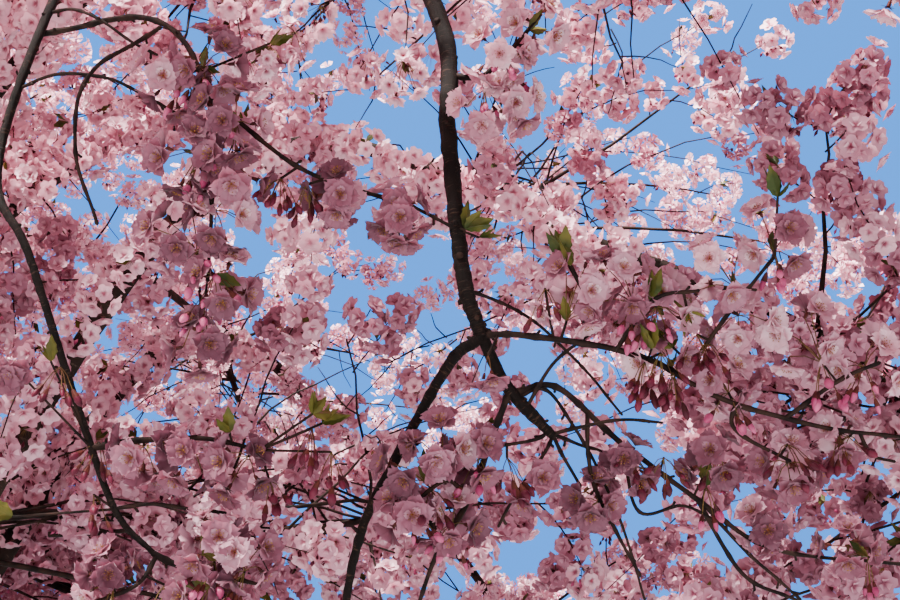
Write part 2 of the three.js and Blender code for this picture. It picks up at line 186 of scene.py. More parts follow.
class Line:
    """A line that bends smoothly through a few points, with its radius along it. Its straight steps
    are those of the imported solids, and stems and twigs start on them."""

    def __init__(self, points, radii, steps):
        self.points = np.array(points, float)
        self.radii = radii
        self.steps = steps

    def at(self, share):
        last = len(self.points) - 1
        place = last * min(max(share, 0), 1)
        first = min(int(place), last - 1)
        t = place - first
        start = self.points[first]
        end = self.points[first + 1]
        before = self.points[first - 1] if first > 0 else 2 * start - end
        after = self.points[first + 2] if first + 2 <= last else 2 * end - start
        leave = (end - before) / 2
        arrive = (after - start) / 2
        square = 3 * (end - start) - 2 * leave - arrive
        cube = 2 * (start - end) + leave + arrive
        return start + t * leave + t**2 * square + t**3 * cube

    def tangent(self, share):
        return unit(self.at(share + 1e-4) - self.at(share - 1e-4))

    def on_step(self, share):
        place = min(max(share, 0), 1) * self.steps
        first = min(int(place), self.steps - 1)
        start = self.at(first / self.steps)
        return start + (self.at((first + 1) / self.steps) - start) * (place - first)

    def radius(self, share):
        return between(self.radii, share)

    def along(self, steps):
        """Its points and its radii at even shares of it."""
        shares = [i / steps for i in range(steps + 1)]
        return [self.at(share) for share in shares], [self.radius(share) for share in shares]

    def length(self):
        points, _ = self.along(200)
        return np.linalg.norm(np.diff(points, axis=0), axis=1).sum()


class Room:
    """The balls of space that limbs, stems and sprays already fill, each with its owner's name."""

    def __init__(self):
        self.places = np.zeros((MOST_BALLS, 3))
        self.radii = np.zeros(MOST_BALLS)
        self.owners = np.zeros(MOST_BALLS, int)
        self.names = []
        self.count = 0

    def number(self, owner):
        if owner not in self.names:
            self.names.append(owner)
        return self.names.index(owner)

    def fill(self, balls, owner):
        for place, radius in balls:
            self.places[self.count] = place
            self.radii[self.count] = radius
            self.owners[self.count] = self.number(owner)
            self.count += 1

    def fill_along(self, line, owner, gap):
        count = math.ceil(line.length() / gap)
        shares = [i / count for i in range(count + 1)]
        self.fill([(line.on_step(share), line.radius(share)) for share in shares], owner)

    def fits(self, balls, owner):
        others = self.owners[: self.count] != self.number(owner)
        places = self.places[: self.count][others]
        radii = self.radii[: self.count][others]
        for place, radius in balls:
            gaps = np.linalg.norm(places - place, axis=1) - radii
            if gaps.min() <= radius + CLEARANCE:
                return False
        return True


room = Room()
limbs = {}


def add_limb(name, points, radii, steps=6):
    line = Line(points, radii, steps)
    room.fill_along(line, name, LIMB_BALL_GAP)
    limbs[name] = line
    return line


def lean(share, height):
    return (share * TRUNK_LEAN, -0.4 * share * TRUNK_LEAN, height * TRUNK_HEIGHT)


trunk_way = [lean(0, 0), lean(0, 0.25), lean(0.6, 0.5), lean(1, 0.75), lean(0.8, 1)]
trunk = add_limb("trunk", trunk_way, TRUNK_RADII, 10)


def trunk_at(height):
    return trunk.on_step(height / TRUNK_HEIGHT)


def add_ring(name, ring, radii, start_of):
    """A ring of boughs. Each one climbs from its holder, bends over its arch and levels off."""
    boughs = []
    for i in range(ring["count"]):
        turn = ring["first"] + 360 / ring["count"] * i
        sway = BOUGH_SWAY * math.sin(2.4 * i)
        lift = BOUGH_LIFT * math.sin(1.7 * i)
        points = [
            start_of(i),
            around(turn - 5 + sway, ring["knee"][0], ring["knee"][1] + lift),
            around(turn - 3, ring["arch"][0], ring["arch"][1] + lift),
            around(turn, *ring["tip"]),
        ]
        boughs.append((turn, add_limb(f"{name}_{i + 1}", points, radii)))
    return boughs


def lower_start(i):
    """The lower boughs leave the trunk one step apart in height, and neighbours three steps apart."""
    return trunk_at(LOWEST_BOUGH + BOUGH_STEP * (3 * i % LOWER["count"]))


def upper_start(i):
    return trunk_at(TRUNK_HEIGHT - 0.06 - 0.03 * (i % 2))


def high_start(i):
    return leader.on_step(0.3 + 0.05 * i)


leader_way = [
    trunk_at(TRUNK_HEIGHT - 0.03),
    (0.075, 0.01, 3.0),
    (0.045, 0.005, 3.6),
    (0.03, -0.01, LEADER_HEIGHT),
]
leader = add_limb("leader", leader_way, LEADER_RADII)
lower_boughs = add_ring("lower_bough", LOWER, LOWER_RADII, lower_start)
upper_boughs = add_ring("upper_bough", UPPER, UPPER_RADII, upper_start)
high_boughs = add_ring("high_bough", HIGH, HIGH_RADII, high_start)

# The limb that hangs in the middle of the view, its two branches below the fork, and the limb that
# trails down on the left. A place is right, up and away as seen from the eye.
carrier = lower_boughs[0][1]
fork = seen(0.034, -0.038, 1.45)
hanging_way = [(-0.019, 0.316, 1.64), (-0.002, 0.175, 1.54), (0.014, 0.025, 1.47), (0.034, -0.04, 1.45)]
left_way = [(0, -0.066, 1.446), (-0.045, -0.145, 1.44), (-0.094, -0.246, 1.43), (-0.118, -0.365, 1.42)]
right_way = [(0.056, -0.085, 1.452), (0.084, -0.118, 1.455), (0.109, -0.143, 1.458)]
trailing_way = [
    (-0.417, 0.316, 1.65), (-0.476, 0.14, 1.53), (-0.443, 0.047, 1.47), (-0.39, -0.118, 1.45),
    (-0.352, -0.222, 1.43), (-0.313, -0.266, 1.42),
]
HANGING_RADII = [0.012, 0.0105, 0.0095, 0.0085, 0.0075]
LEFT_RADII = [0.0064, 0.006, 0.0054, 0.0048, 0.004]
RIGHT_RADII = [0.0066, 0.0062, 0.007, 0.0045]
TRAILING_RADII = [0.0085, 0.0055, 0.0048, 0.0042, 0.0037, 0.0028]
hanging_limb = add_limb("hanging_limb", seen_way(carrier.on_step(0.93), hanging_way), HANGING_RADII, 9)
left_branch = add_limb("hanging_limb_left_branch", seen_way(fork, left_way), LEFT_RADII, 7)
right_branch = add_limb("hanging_limb_right_branch", seen_way(fork, right_way), RIGHT_RADII, 6)
trailing_limb = add_limb("trailing_limb", seen_way(carrier.on_step(0.78), trailing_way), TRAILING_RADII, 12)


def spin(axis, angle):
    """A turn about one of the three axes."""
    cos, sin = math.cos(angle), math.sin(angle)
    turn = np.eye(3)
    first, second = [(1, 2), (2, 0), (0, 1)][axis]
    turn[first, first] = turn[second, second] = cos
    turn[first, second] = -sin
    turn[second, first] = sin
    return turn


def turn_to(direction):
    """The shortest turn that takes +Y to a direction."""
    cross = np.cross([0.0, 1.0, 0.0], direction)
    skew = np.array([[0, -cross[2], cross[1]], [cross[2], 0, -cross[0]], [-cross[1], cross[0], 0]])
    return np.eye(3) + skew + skew @ skew / (1 + direction[1])


def spray_space(at, along, length, width, roll):
    """The balls that a spray lies in: one round its middle and one towards each corner."""
    tilt = spin(0, SPRAY_TILT[0]) @ spin(1, roll) @ spin(2, SPRAY_TILT[1])
    place = turn_to(unit(along)) @ np.diag([width, length, width]) @ tilt
    tips = [way * place[:, axis] for axis in range(3) for way in (-1, 1)]
    reach = sum(np.linalg.norm(tip) for tip in tips) / len(tips)
    ends = [(at + CORNER_PLACE * tip, CORNER_BALL * np.linalg.norm(tip)) for tip in tips]
    return [(at, MIDDLE_BALL * reach), *ends]


def twig_space(start, tip):
    count = math.ceil(np.linalg.norm(tip - start) / TWIG_BALL_GAP)
    return [(start + (tip - start) * i / count, TWIG_RADIUS) for i in range(1, count)]


def from_eye(at):
    """How far away a point is along the line of sight, and how far right and up of that line."""
    line = at - EYE
    return line @ FORWARD, line @ RIGHTWARD, line @ UPWARD


def in_frame(away, right, up, radius):
    """True where a ball shows between the sides of the view."""
    spread = max(away, 0) / SIGHT
    wide = abs(right) < CLEARING["half_width"] * spread + radius
    return wide and abs(up) < CLEARING["half_height"] * spread + radius


def in_clearing(at, radius):
    """True where a ball would stand in the open space before the hanging limb."""
    away, right, up = from_eye(at)
    return -radius <= away <= CLEARING["depth"] + radius and in_frame(away, right, up, radius)


def in_view(at, radius):
    """True where a ball shows in the view and isn't right at the eye."""
    away, right, up = from_eye(at)
    return away >= NEAREST_IN_VIEW and in_frame(away, right, up, radius)


crown_masses = []


def plan_mass(name, holder, share, centre, ring, seed):
    """A mass's stem goes on from its bough through the middle of the mass, and hangs at its end."""
    root = holder.on_step(share)
    across = centre - root
    bend = root + holder.tangent(share) * 0.3 * np.linalg.norm(across) + 0.3 * across
    end = centre + 0.3 * across + DOWN * 0.2 * ring["rise"]
    stem = Line([root, bend, centre, end], STEM_RADII, 4)
    room.fill_along(stem, name, STEM_BALL_GAP)
    crown_masses.append((name, root, stem, centre, ring, seed))


def plan_ring(name, boughs, ring, seed):
    for i, (turn, limb) in enumerate(boughs):
        out = ring["out"] + 0.03 * ring["out"] * math.sin(2 * i)
        height = ring["height"] + 0.08 * math.sin(1.3 * i + seed)
        plan_mass(f"{name}_{i + 1}", limb, 1, around(turn, out, height), ring, seed + i)


plan_ring("skirt_blossom", lower_boughs, SKIRT, 101)
plan_ring("shoulder_blossom", upper_boughs, SHOULDER, 201)
plan_ring("cap_blossom", high_boughs, CAP, 301)
plan_mass("top_blossom", leader, 1, around(0, TOP["out"], TOP["height"]), TOP, 401)
for i in range(INNER_COUNT):
    centre = around(INNER_FIRST + 45 * i, INNER["out"], INNER["height"] + 0.06 * math.sin(1.5 * i))
    plan_mass(f"inner_blossom_{i + 1}", trunk, 0.86 + 0.02 * i, centre, INNER, 501 + i)

# The masses that hang close by the eye: the share of the holder where each starts, its stem's way,
# its side twigs with their shares of the stem, and its clusters with their half lengths. A place is
# right, up and away as seen from the eye. Tints are dealt to the flowers of a mass one by one.
NEAR_MASSES = {
    "near_blossom_top": {
        "holder": hanging_limb,
        "share": 0.38,
        "way": [(0.034, 0.236, 1.56), (0.062, 0.262, 1.55), (0.096, 0.3, 1.545)],
        "twigs": [],
        "tints": ("shell", "blush", "blush", "rose"),
        "clusters": [
            (0.036, 0.196, 0.03, 1.54), (0.052, 0.258, 0.032, 1.545), (0.066, 0.208, 0.027, 1.55),
            (0.088, 0.286, 0.028, 1.545),
        ],
    },
    "near_blossom_right": {
        "holder": hanging_limb,
        "share": 0.985,
        "way": [
            (0.084, -0.038, 1.446), (0.2, -0.059, 1.44), (0.288, -0.105, 1.432), (0.4, -0.135, 1.43),
            (0.5, -0.146, 1.43),
        ],
        "twigs": [
            (0.62, (0.3, -0.136, 1.432), (0.358, -0.17, 1.436)),
            (0.36, (0.214, 0, 1.42), (0.262, 0.01, 1.416)),
            (0.5, (0.3, -0.006, 1.424), (0.342, 0.046, 1.42)),
            (0.72, (0.41, -0.084, 1.424), (0.452, -0.066, 1.42)),
        ],
        "tints": ("shell", "blush", "blush", "blush", "rose", "mauve"),
        "clusters": [
            (0.132, 0.008, 0.034), (0.176, 0.012, 0.036), (0.222, -0.01, 0.032), (0.226, -0.06, 0.028),
            (0.284, 0.026, 0.034), (0.342, 0.062, 0.038), (0.312, -0.026, 0.032), (0.366, -0.034, 0.036),
            (0.432, -0.07, 0.04), (0.288, -0.088, 0.024), (0.356, -0.176, 0.03), (0.414, -0.15, 0.024),
        ],
    },
    "near_blossom_low_right": {
        "holder": right_branch,
        "share": 0.45,
        "way": [
            (0.112, -0.092, 1.48), (0.18, -0.15, 1.5), (0.263, -0.212, 1.52), (0.34, -0.262, 1.54),
            (0.474, -0.278, 1.56),
        ],
        "twigs": [
            (0.6, (0.31, -0.29, 1.53), (0.37, -0.318, 1.54)),
            (0.3, (0.15, -0.19, 1.47), (0.2, -0.29, 1.46)),
        ],
        "clusters": [
            (0.186, -0.176, 0.026, 1.49), (0.276, -0.168, 0.028, 1.5), (0.33, -0.24, 0.024, 1.53),
            (0.15, -0.214, 0.022, 1.47), (0.42, -0.262, 0.026, 1.55),
        ],
    },
    "near_blossom_centre": {
        "holder": right_branch,
        "share": 0.42,
        "way": [(0.05, -0.13, 1.44), (0.02, -0.21, 1.425), (-0.015, -0.27, 1.418), (-0.036, -0.33, 1.412)],
        "twigs": [(0.5, (-0.004, -0.19, 1.41), (-0.04, -0.216, 1.405))],
        "clusters": [
            (-0.01, -0.156, 0.028, 1.412), (0.02, -0.166, 0.026, 1.42), (-0.038, -0.178, 0.026, 1.405),
            (-0.042, -0.226, 0.026, 1.405), (0, -0.236, 0.028, 1.412),
        ],
    },
    "near_blossom_left": {
        "holder": trailing_limb,
        "share": 0.2,
        "way": [(-0.317, 0.296, 1.56), (-0.262, 0.24, 1.49), (-0.25, 0.15, 1.44), (-0.255, 0.02, 1.42)],
        "twigs": [
            (0.56, (-0.16, 0.14, 1.45), (-0.05, 0.102, 1.48), (0.004, 0.076, 1.486)),
            (0.3, (-0.38, 0.236, 1.5), (-0.394, 0.16, 1.49), (-0.372, 0.08, 1.49)),
        ],
        "clusters": [
            (-0.254, 0.248, 0.034, 1.47), (-0.298, 0.228, 0.03, 1.48), (-0.234, 0.184, 0.032, 1.44),
            (-0.276, 0.15, 0.034, 1.436), (-0.232, 0.136, 0.03, 1.432), (-0.284, 0.066, 0.034, 1.426),
            (-0.24, 0.084, 0.03, 1.424), (-0.24, 0.01, 0.03, 1.42), (-0.262, -0.046, 0.028, 1.416),
            (-0.054, 0.094, 0.026, 1.478), (-0.118, 0.112, 0.024, 1.462),
        ],
    },
    "near_blossom_low_left": {
        "holder": trailing_limb,
        "share": 1,
        "way": [(-0.28, -0.282, 1.416), (-0.24, -0.29, 1.41), (-0.2, -0.3, 1.405)],
        "twigs": [(0.05, (-0.33, -0.3, 1.4), (-0.38, -0.32, 1.395))],
        "clusters": [
            (-0.3, -0.24, 0.026, 1.41), (-0.25, -0.256, 0.026, 1.408), (-0.214, -0.272, 0.024, 1.405),
            (-0.36, -0.29, 0.028, 1.398), (-0.26, -0.318, 0.026, 1.408),
        ],
    },
    "near_blossom_left_side": {
        "holder": trailing_limb,
        "share": 0.72,
        "way": [(-0.33, -0.148, 1.446), (-0.26, -0.146, 1.44), (-0.2, -0.158, 1.436)],
        "twigs": [],
        "clusters": [
            (-0.322, -0.164, 0.028, 1.44), (-0.272, -0.166, 0.028, 1.436), (-0.222, -0.176, 0.028, 1.43),
        ],
    },
}

# Most clusters by the eye hang in the crown's shade
SHADED_TINTS = ("blush", "rose", "mauve", "mauve", "dusk", "dusk")
near_lines = []
near_stems = {}
near_clusters = []
for name, mass in NEAR_MASSES.items():
    start = mass["holder"].on_step(mass["share"])
    stem = Line(seen_way(start, mass["way"]), NEAR_STEM_RADII, 6)
    near_stems[name] = stem
    lines = [stem]
    for share, *places in mass["twigs"]:
        lines.append(Line(seen_way(stem.on_step(share), places), NEAR_TWIG_RADII, 3))
    spurs = [(line, share) for line in lines for share in SPUR_SHARES]
    for right, up, size, *away in mass["clusters"]:
        at = seen(right, up, *away)
        line, share = min(spurs, key=lambda spur: np.linalg.norm(spur[0].on_step(spur[1]) - at))
        start = line.on_step(share)
        space = spray_space(at, at - start, size, 0.8 * size, 0.4)
        if not room.fits(space, name):
            continue
        tints = mass.get("tints", SHADED_TINTS)
        near_clusters.append((start, at, size, TWIG_SHARE * line.radius(share), tints))
        room.fill(space, name)
    for line in lines:
        room.fill_along(line, name, NEAR_BALL_GAP)
        near_lines.append(line)


crown_sprays = []


def plan_sprays(name, root, stem, centre, ring, seed):
    """One mass by the crown's rule: sprays spaced evenly by the golden angle round its middle, each
    on a twig of its own, and none where it would leave its space."""
    draw = seeded(seed)
    phase = draw() * 2 * math.pi
    climbs = stem.on_step(1)[2] > root[2]
    for i in range(ring["sprays"]):
        rise = 1 - 2 * (i + 0.5) / ring["sprays"]
        turn = phase + i * GOLDEN_ANGLE
        shell = (OUTER_SHELL if i % 3 else INNER_SHELL) * (0.92 + 0.16 * draw())
        flat = math.sqrt(1 - rise * rise) * shell * ring["width"]
        length = SPRAY_LENGTH * (0.85 + 0.3 * draw())
        width = SPRAY_WIDTH * (0.85 + 0.3 * draw())
        roll = draw() * math.pi
        at = centre + np.array([flat * math.cos(turn), flat * math.sin(turn), rise * shell * ring["rise"]])
        order = 0.5 + 0.5 * rise if climbs else 0.5 - 0.5 * rise
        share = FIRST_TWIG + (LAST_TWIG - FIRST_TWIG) * order
        start = stem.on_step(share)
        along = at - start
        tip = at + 0.2 * length * unit(along)
        spray = spray_space(at, along, length, width, roll)
        twig = twig_space(start, tip)
        if in_clearing(at, width) or not room.fits(spray, name) or not room.fits(twig, name):
            continue
        radius = TWIG_SHARE * between(STEM_RADII, share)
        crown_sprays.append((start, at, tip, length, width, radius, seed * 100 + i))
        room.fill([*spray, *twig], name)


for mass in crown_masses:
    plan_sprays(*mass)


# Shapes of small things, each as its points and its triangles. A petal's outline is a few shares of
# its length, and its width at each as a share of its widest. Its edge, with the notch and the frill,
# begins at a share of its length, and its sides turn up by a share of its width.
PETAL_EDGE = 0.45
PETAL_CUPPING = 0.24
PETAL_OUTLINE = {
    "near": ([0.04, 0.3, 0.62, 0.86, 1.0], [0.14, 0.52, 1.0, 0.86, 0.42]),
    "mid": ([0.05, 0.62, 1.0], [0.14, 1.0, 0.42]),
}


def grid_triangles(rows, columns):
    triangles = []
    for row in range(rows - 1):
        for column in range(columns - 1):
            corner = row * columns + column
            triangles.append((corner, corner + 1, corner + columns + 1))
            triangles.append((corner, corner + columns + 1, corner + columns))
    return triangles


def petal(detail, length, width, steep, level, chance):
    """A petal that leaves the middle steeply, bends outwards and ends in a notched, frilled edge."""
    shares, widths = (np.array(values) for values in PETAL_OUTLINE[detail])
    columns = 5 if detail == "near" else 3
    angles = steep + (level - steep) * shares**0.6
    strides = np.diff(shares, prepend=0) * length
    out = np.cumsum(strides * np.cos(angles))
    up = np.cumsum(strides * np.sin(angles))
    points = []
    wave = ANY_TURN * chance.random()
    for row, share in enumerate(shares):
        edge = max(share - PETAL_EDGE, 0) / (1 - PETAL_EDGE)
        for column in range(columns):
            side = 2 * column / (columns - 1) - 1
            notch = 0.2 * (1 - abs(side)) if detail == "mid" else 0.15 * (column % 2 == 0)
            pull = edge * notch * length
            frill = edge * length * (0.1 * (chance.random() - 0.5) + 0.07 * math.sin(3 * side + wave))
            lift = PETAL_CUPPING * width * widths[row] * side**2 + frill
            points.append((
                out[row] - pull * math.cos(angles[row]),
                side * widths[row] * width / 2,
                up[row] + lift - pull * math.sin(angles[row]),
            ))
    return np.array(points), grid_triangles(len(shares), columns)


def blunt_petal(length, width, steep, chance):
    """A petal as it shows from a few metres away: three faces, folded a little and blunt at its end."""
    tip = length * (0.92 + 0.16 * chance.random())
    cos, sin = math.cos(steep), math.sin(steep)
    fold = 0.14 * width
    points = [
        (0, 0, 0),
        (0.62 * length * cos, -width / 2, 0.62 * length * sin + fold),
        (tip * cos, -0.26 * width, tip * sin),
        (tip * cos, 0.26 * width, tip * sin),
        (0.62 * length * cos, width / 2, 0.62 * length * sin + fold),
    ]
    return np.array(points), [(0, 1, 2), (0, 2, 3), (0, 3, 4)]


def sliver(length, width, steep, chance):
    """A petal of one face, for blossom on the crown's far sides."""
    tip = length * (0.92 + 0.16 * chance.random())
    cos, sin = math.cos(steep), math.sin(steep)
    points = [(0, 0, 0), (tip * cos, -width / 2, tip * sin), (tip * cos, width / 2, tip * sin)]
    return np.array(points), [(0, 1, 2)]


def join_shapes(shapes):
    points = []
    triangles = []
    count = 0
    for more_points, more_triangles in shapes:
        points.append(np.asarray(more_points, float))
        triangles.append(np.asarray(more_triangles, int) + count)
        count += len(more_points)
    return np.concatenate(points), np.concatenate(triangles)


def whorl(make, count, first, chance):
    """Petals evenly round the flower's middle, each turned a little off its place."""
    shapes = []
    for i in range(count):
        turn = first + 2 * math.pi * i / count + 0.16 * (chance.random() - 0.5)
        points, triangles = make()
        shapes.append((points @ spin(2, turn).T, triangles))
    return shapes


def flower_shapes(detail, chance):
    """The petals of one double flower that faces +Z: its two outer whorls, and its inner petals."""
    size = FLOWER_RADIUS
    tip = 0.4 * chance.random() - 0.05
    if detail == "near":
        outer = whorl(lambda: petal("near", 1.16 * size, 0.86 * size, 0.95, tip, chance), 5, 0, chance)
        outer += whorl(lambda: petal("near", size, 0.74 * size, 1.1, 0.3 + tip, chance), 5, 0.63, chance)
        inner = whorl(lambda: petal("near", 0.66 * size, 0.46 * size, 1.3, 0.6, chance), 3, 0.3, chance)
    elif detail == "mid":
        outer = whorl(lambda: petal("mid", 1.12 * size, 0.86 * size, 0.8, tip, chance), 5, 0, chance)
        inner = whorl(lambda: petal("mid", 0.84 * size, 0.62 * size, 1.2, 0.35 + tip, chance), 5, 0.6, chance)
    elif detail == "far":
        outer = whorl(lambda: blunt_petal(1.12 * size, 1.0 * size, 0.15 + tip, chance), 5, 0, chance)
        inner = whorl(lambda: sliver(0.72 * size, 0.62 * size, 0.85, chance), 3, 0.6, chance)
    else:
        outer = whorl(lambda: sliver(size, 0.95 * size, 0.2 + tip, chance), 5, 0, chance)
        inner = whorl(lambda: sliver(0.75 * size, 0.6 * size, 0.8, chance), 3, 0.6, chance)
    return join_shapes(outer), join_shapes(inner)


def round_points(count, radius, height):
    """Points evenly round +Z."""
    turns = [2 * math.pi * i / count for i in range(count)]
    return [(radius * math.cos(turn), radius * math.sin(turn), height) for turn in turns]


def ring_triangles(rings, sides):
    """The side faces of a shape whose points run round it ring by ring."""
    triangles = []
    for ring in range(rings - 1):
        for i in range(sides):
            low = ring * sides + i
            beside = ring * sides + (i + 1) % sides
            triangles.append((low, beside, beside + sides))
            triangles.append((low, beside + sides, low + sides))
    return triangles


def lathe(profile, sides):
    """A shape turned about +Z from the radius and height of each ring."""
    points = [point for radius, height in profile for point in round_points(sides, radius, height)]
    return np.array(points), ring_triangles(len(profile), sides)


def stamens_shape(chance):
    """A brush of stamens, each a fine thread with a grain of pollen sac at its end."""
    count = 13
    thread = 0.00016
    grain = 0.0009 * np.array([(1, 0, -0.6), (-0.6, 0.8, -0.6), (-0.6, -0.8, -0.6), (0, 0, 1)])
    shapes = []
    for i in range(count):
        turn = i * GOLDEN_ANGLE
        slope = 0.12 + 0.5 * math.sqrt((i + 0.5) / count)
        out = math.sin(slope)
        length = 0.0085 + 0.003 * chance.random()
        tip = length * np.array([out * math.cos(turn), out * math.sin(turn), math.cos(slope)])
        side = thread * np.array([-math.sin(turn), math.cos(turn), 0])
        shapes.append(([-side, side, tip], [(0, 1, 2)]))
        shapes.append((tip + grain, [(0, 1, 3), (1, 2, 3), (2, 0, 3), (0, 2, 1)]))
    return join_shapes(shapes)


def heart_shape():
    """The flower's throat, a small flat star that lies under the stamens."""
    points = [(0, 0, 0.0012)]
    for i in range(10):
        radius = 0.0034 if i % 2 else 0.0019
        turn = math.pi * i / 5
        points.append((radius * math.cos(turn), radius * math.sin(turn), 0.002))
    return np.array(points), [(0, i + 1, (i + 1) % 10 + 1) for i in range(10)]


def cup_shape(detail):
    """The red-brown cup behind the petals, with five pointed sepals. Far off it is one dark face."""
    if detail == "far":
        return np.array(round_points(3, 0.006, -0.002)), [(0, 1, 2)]
    shapes = [lathe([(0.0009, -CUP_DEPTH), (0.0019, -0.0062), (0.0023, -0.0012)], 5)]
    sepal = np.array([(0.0018, -0.0018, -0.0012), (0.0018, 0.0018, -0.0012), (0.0078, 0, -0.0006)])
    for i in range(5):
        shapes.append((sepal @ spin(2, 2 * math.pi * i / 5).T, [(0, 1, 2)]))
    return join_shapes(shapes)


def bud_shape(fat, detail):
    """A plump closed bud that opens towards +Z, with its stalk's end at the origin. Far off it has
    six faces."""
    width = 0.0038 * fat
    if detail == "near":
        belly = [(0.8 * width, 0.0085), (width, 0.0125), (0.62 * width, 0.017)]
        return lathe([(0.0004, 0.004), *belly, (0.0002, 0.0195)], 7)
    points = [*round_points(3, 1.2 * width, 0.012), (0, 0, 0.001), (0, 0, 0.02)]
    upper = [(i, (i + 1) % 3, 4) for i in range(3)]
    lower = [((i + 1) % 3, i, 3) for i in range(3)]
    return np.array(points), upper + lower


def bud_cup_shape():
    return lathe([(0.0008, 0.0), (0.0019, 0.002), (0.0029, 0.0062), (0.0034, 0.0095)], 6)


def leaf_shape(detail):
    """A young leaf along +Z, folded along its midrib, with a toothed edge where it is seen close by."""
    if detail != "near":
        points = [(0, 0, 0), (-0.009, 0.004, 0.018), (0, 0.006, 0.04), (0.009, 0.004, 0.018)]
        return np.array(points), [(0, 1, 2), (0, 2, 3)]
    rows = 8
    points = []
    for row in range(rows + 1):
        share = row / rows
        wide = 0.0085 * math.sin(math.pi * min(share * 1.02, 1) ** 0.8)
        tooth = 1.16 if row % 2 else 0.94
        curl = 0.006 * share**2
        for side in (-1, 0, 1):
            points.append((side * wide * tooth, curl + 0.35 * wide * abs(side), 0.042 * share))
    return np.array(points), grid_triangles(rows + 1, 3)


# A direction that no limb or twig follows, from which a tube's first ring is turned
ANY_NORMAL = np.array([0.31, 0.17, 0.94])


def turns_facing(facings, spins):
    """Turns that take +Z to each facing, with a spin about it."""
    facings = units(facings)
    helper = np.where(np.abs(facings[:, 2:3]) < 0.9, [[0.0, 0.0, 1.0]], [[1.0, 0.0, 0.0]])
    first = units(np.cross(helper, facings))
    second = np.cross(facings, first)
    cos, sin = np.cos(spins)[:, None], np.sin(spins)[:, None]
    across = first * cos + second * sin
    return np.stack([across, np.cross(facings, across), facings], axis=2)


class Heap:
    """Many small meshes of one kind, each as its points, its triangles and its points' shares. A share
    is how far out in its flower a point stands, as a share of the flower's radius."""

    def __init__(self):
        self.meshes = []

    def add(self, points, triangles, shares=None):
        points = np.asarray(points, float)
        shares = np.zeros(len(points)) if shares is None else shares
        self.meshes.append((points, np.asarray(triangles, int), shares))

    def add_copies(self, shape, places, turns, sizes):
        """Copies of a shape, each with its place, turn and size."""
        points, triangles = shape
        shares = np.tile(np.linalg.norm(points, axis=1) / FLOWER_RADIUS, len(places))
        placed = np.einsum("nij,kj->nki", turns, points) * sizes[:, None, None] + places[:, None]
        offsets = np.arange(len(places))[:, None, None] * len(points)
        self.add(placed.reshape(-1, 3), (np.asarray(triangles, int)[None] + offsets).reshape(-1, 3), shares)


class Crop:
    """Many small things of one kind, each with its place, facing and size."""

    def __init__(self):
        self.rows = []

    def add(self, places, facings, sizes):
        self.rows.append(np.column_stack([places, facings, sizes]))

    def deal(self, count, chance):
        """Which of a few shapes each thing takes, and its place, turn and size."""
        rows = np.concatenate(self.rows)
        dealt = chance.integers(count, size=len(rows))
        turns = turns_facing(rows[:, 3:6], chance.random(len(rows)) * 2 * math.pi)
        return dealt, rows[:, :3], turns, rows[:, 6]

    def sow(self, heap, shapes, chance):
        """Makes the things as copies of a few shapes, dealt out at random."""
        dealt, places, turns, sizes = self.deal(len(shapes), chance)
        for i, shape in enumerate(shapes):
            heap.add_copies(shape, places[dealt == i], turns[dealt == i], sizes[dealt == i])


heaps = {}
crops = {}


def heap(kind):
    return heaps.setdefault(kind, Heap())


def crop(*kind):
    return crops.setdefault(kind, Crop())


def tube(points, radii, sides):
    """A tapering tube through points, closed at its far end."""
    points = np.asarray(points, float)
    normal = ANY_NORMAL
    rings = []
    angles = np.arange(sides) * 2 * math.pi / sides
    for i, point in enumerate(points):
        tangent = unit(points[min(i + 1, len(points) - 1)] - points[max(i - 1, 0)])
        normal = unit(normal - tangent * (normal @ tangent))
        side = np.cross(tangent, normal)
        rings.append(point + radii[i] * (np.cos(angles)[:, None] * normal + np.sin(angles)[:, None] * side))
    rings.append(points[-1:] + radii[-1] * unit(points[-1] - points[-2]))
    tip = len(points) * sides
    last = tip - sides
    cap = [(last + i, last + (i + 1) % sides, tip) for i in range(sides)]
    return np.concatenate(rings), ring_triangles(len(points), sides) + cap


def add_spur(kind, start, end, radii, sides):
    """A short straight spur, with its radii at its start, its middle and its end."""
    heap(kind).add(*tube([start, 0.5 * (start + end), end], radii, sides))


def add_stalks(starts, ends, radius, detail):
    """Thin stalks that leave a spur together and bend down to their flowers. Far off they are
    slivers of one face."""
    starts = np.broadcast_to(starts, ends.shape)
    if detail not in ("near", "mid"):
        aside = radius * unit(np.cross(ends[0] - starts[0], FORWARD + 0.1))
        points = np.stack([starts - aside, starts + aside, ends], axis=1)
        heap("stalks").add(points.reshape(-1, 3), np.arange(3 * len(ends)).reshape(-1, 3))
        return
    lengths = np.linalg.norm(ends - starts, axis=1, keepdims=True)
    bends = 0.5 * (starts + ends) - 0.12 * lengths * DOWN
    turns = turns_facing(ends - starts, np.zeros(len(ends)))
    ring = np.einsum("nij,kj->nki", turns, radius * np.array(round_points(3, 1, 0)))
    points = np.concatenate([middle[:, None] + ring for middle in (starts, bends, ends)], axis=1)
    offsets = np.arange(len(ends))[:, None, None] * points.shape[1]
    heap("stalks").add(points.reshape(-1, 3), (np.array(ring_triangles(3, 3)) + offsets).reshape(-1, 3))


def even_directions(count, first):
    """Directions spread evenly over a ball by the golden angle."""
    rise = 1 - 2 * (np.arange(count) + 0.5) / count
    turn = first + np.arange(count) * GOLDEN_ANGLE
    flat = np.sqrt(1 - rise**2)
    return np.column_stack([flat * np.cos(turn), flat * np.sin(turn), rise])


# Petal tints from the palest to the deepest. A spray in the light is paler than one in the shade, and
# the deepest tint is only for the shaded clusters by the eye.
TINTS = ["shell", "blush", "rose", "mauve", "dusk"]
DEEPEST_IN_CROWN = TINTS.index("mauve")


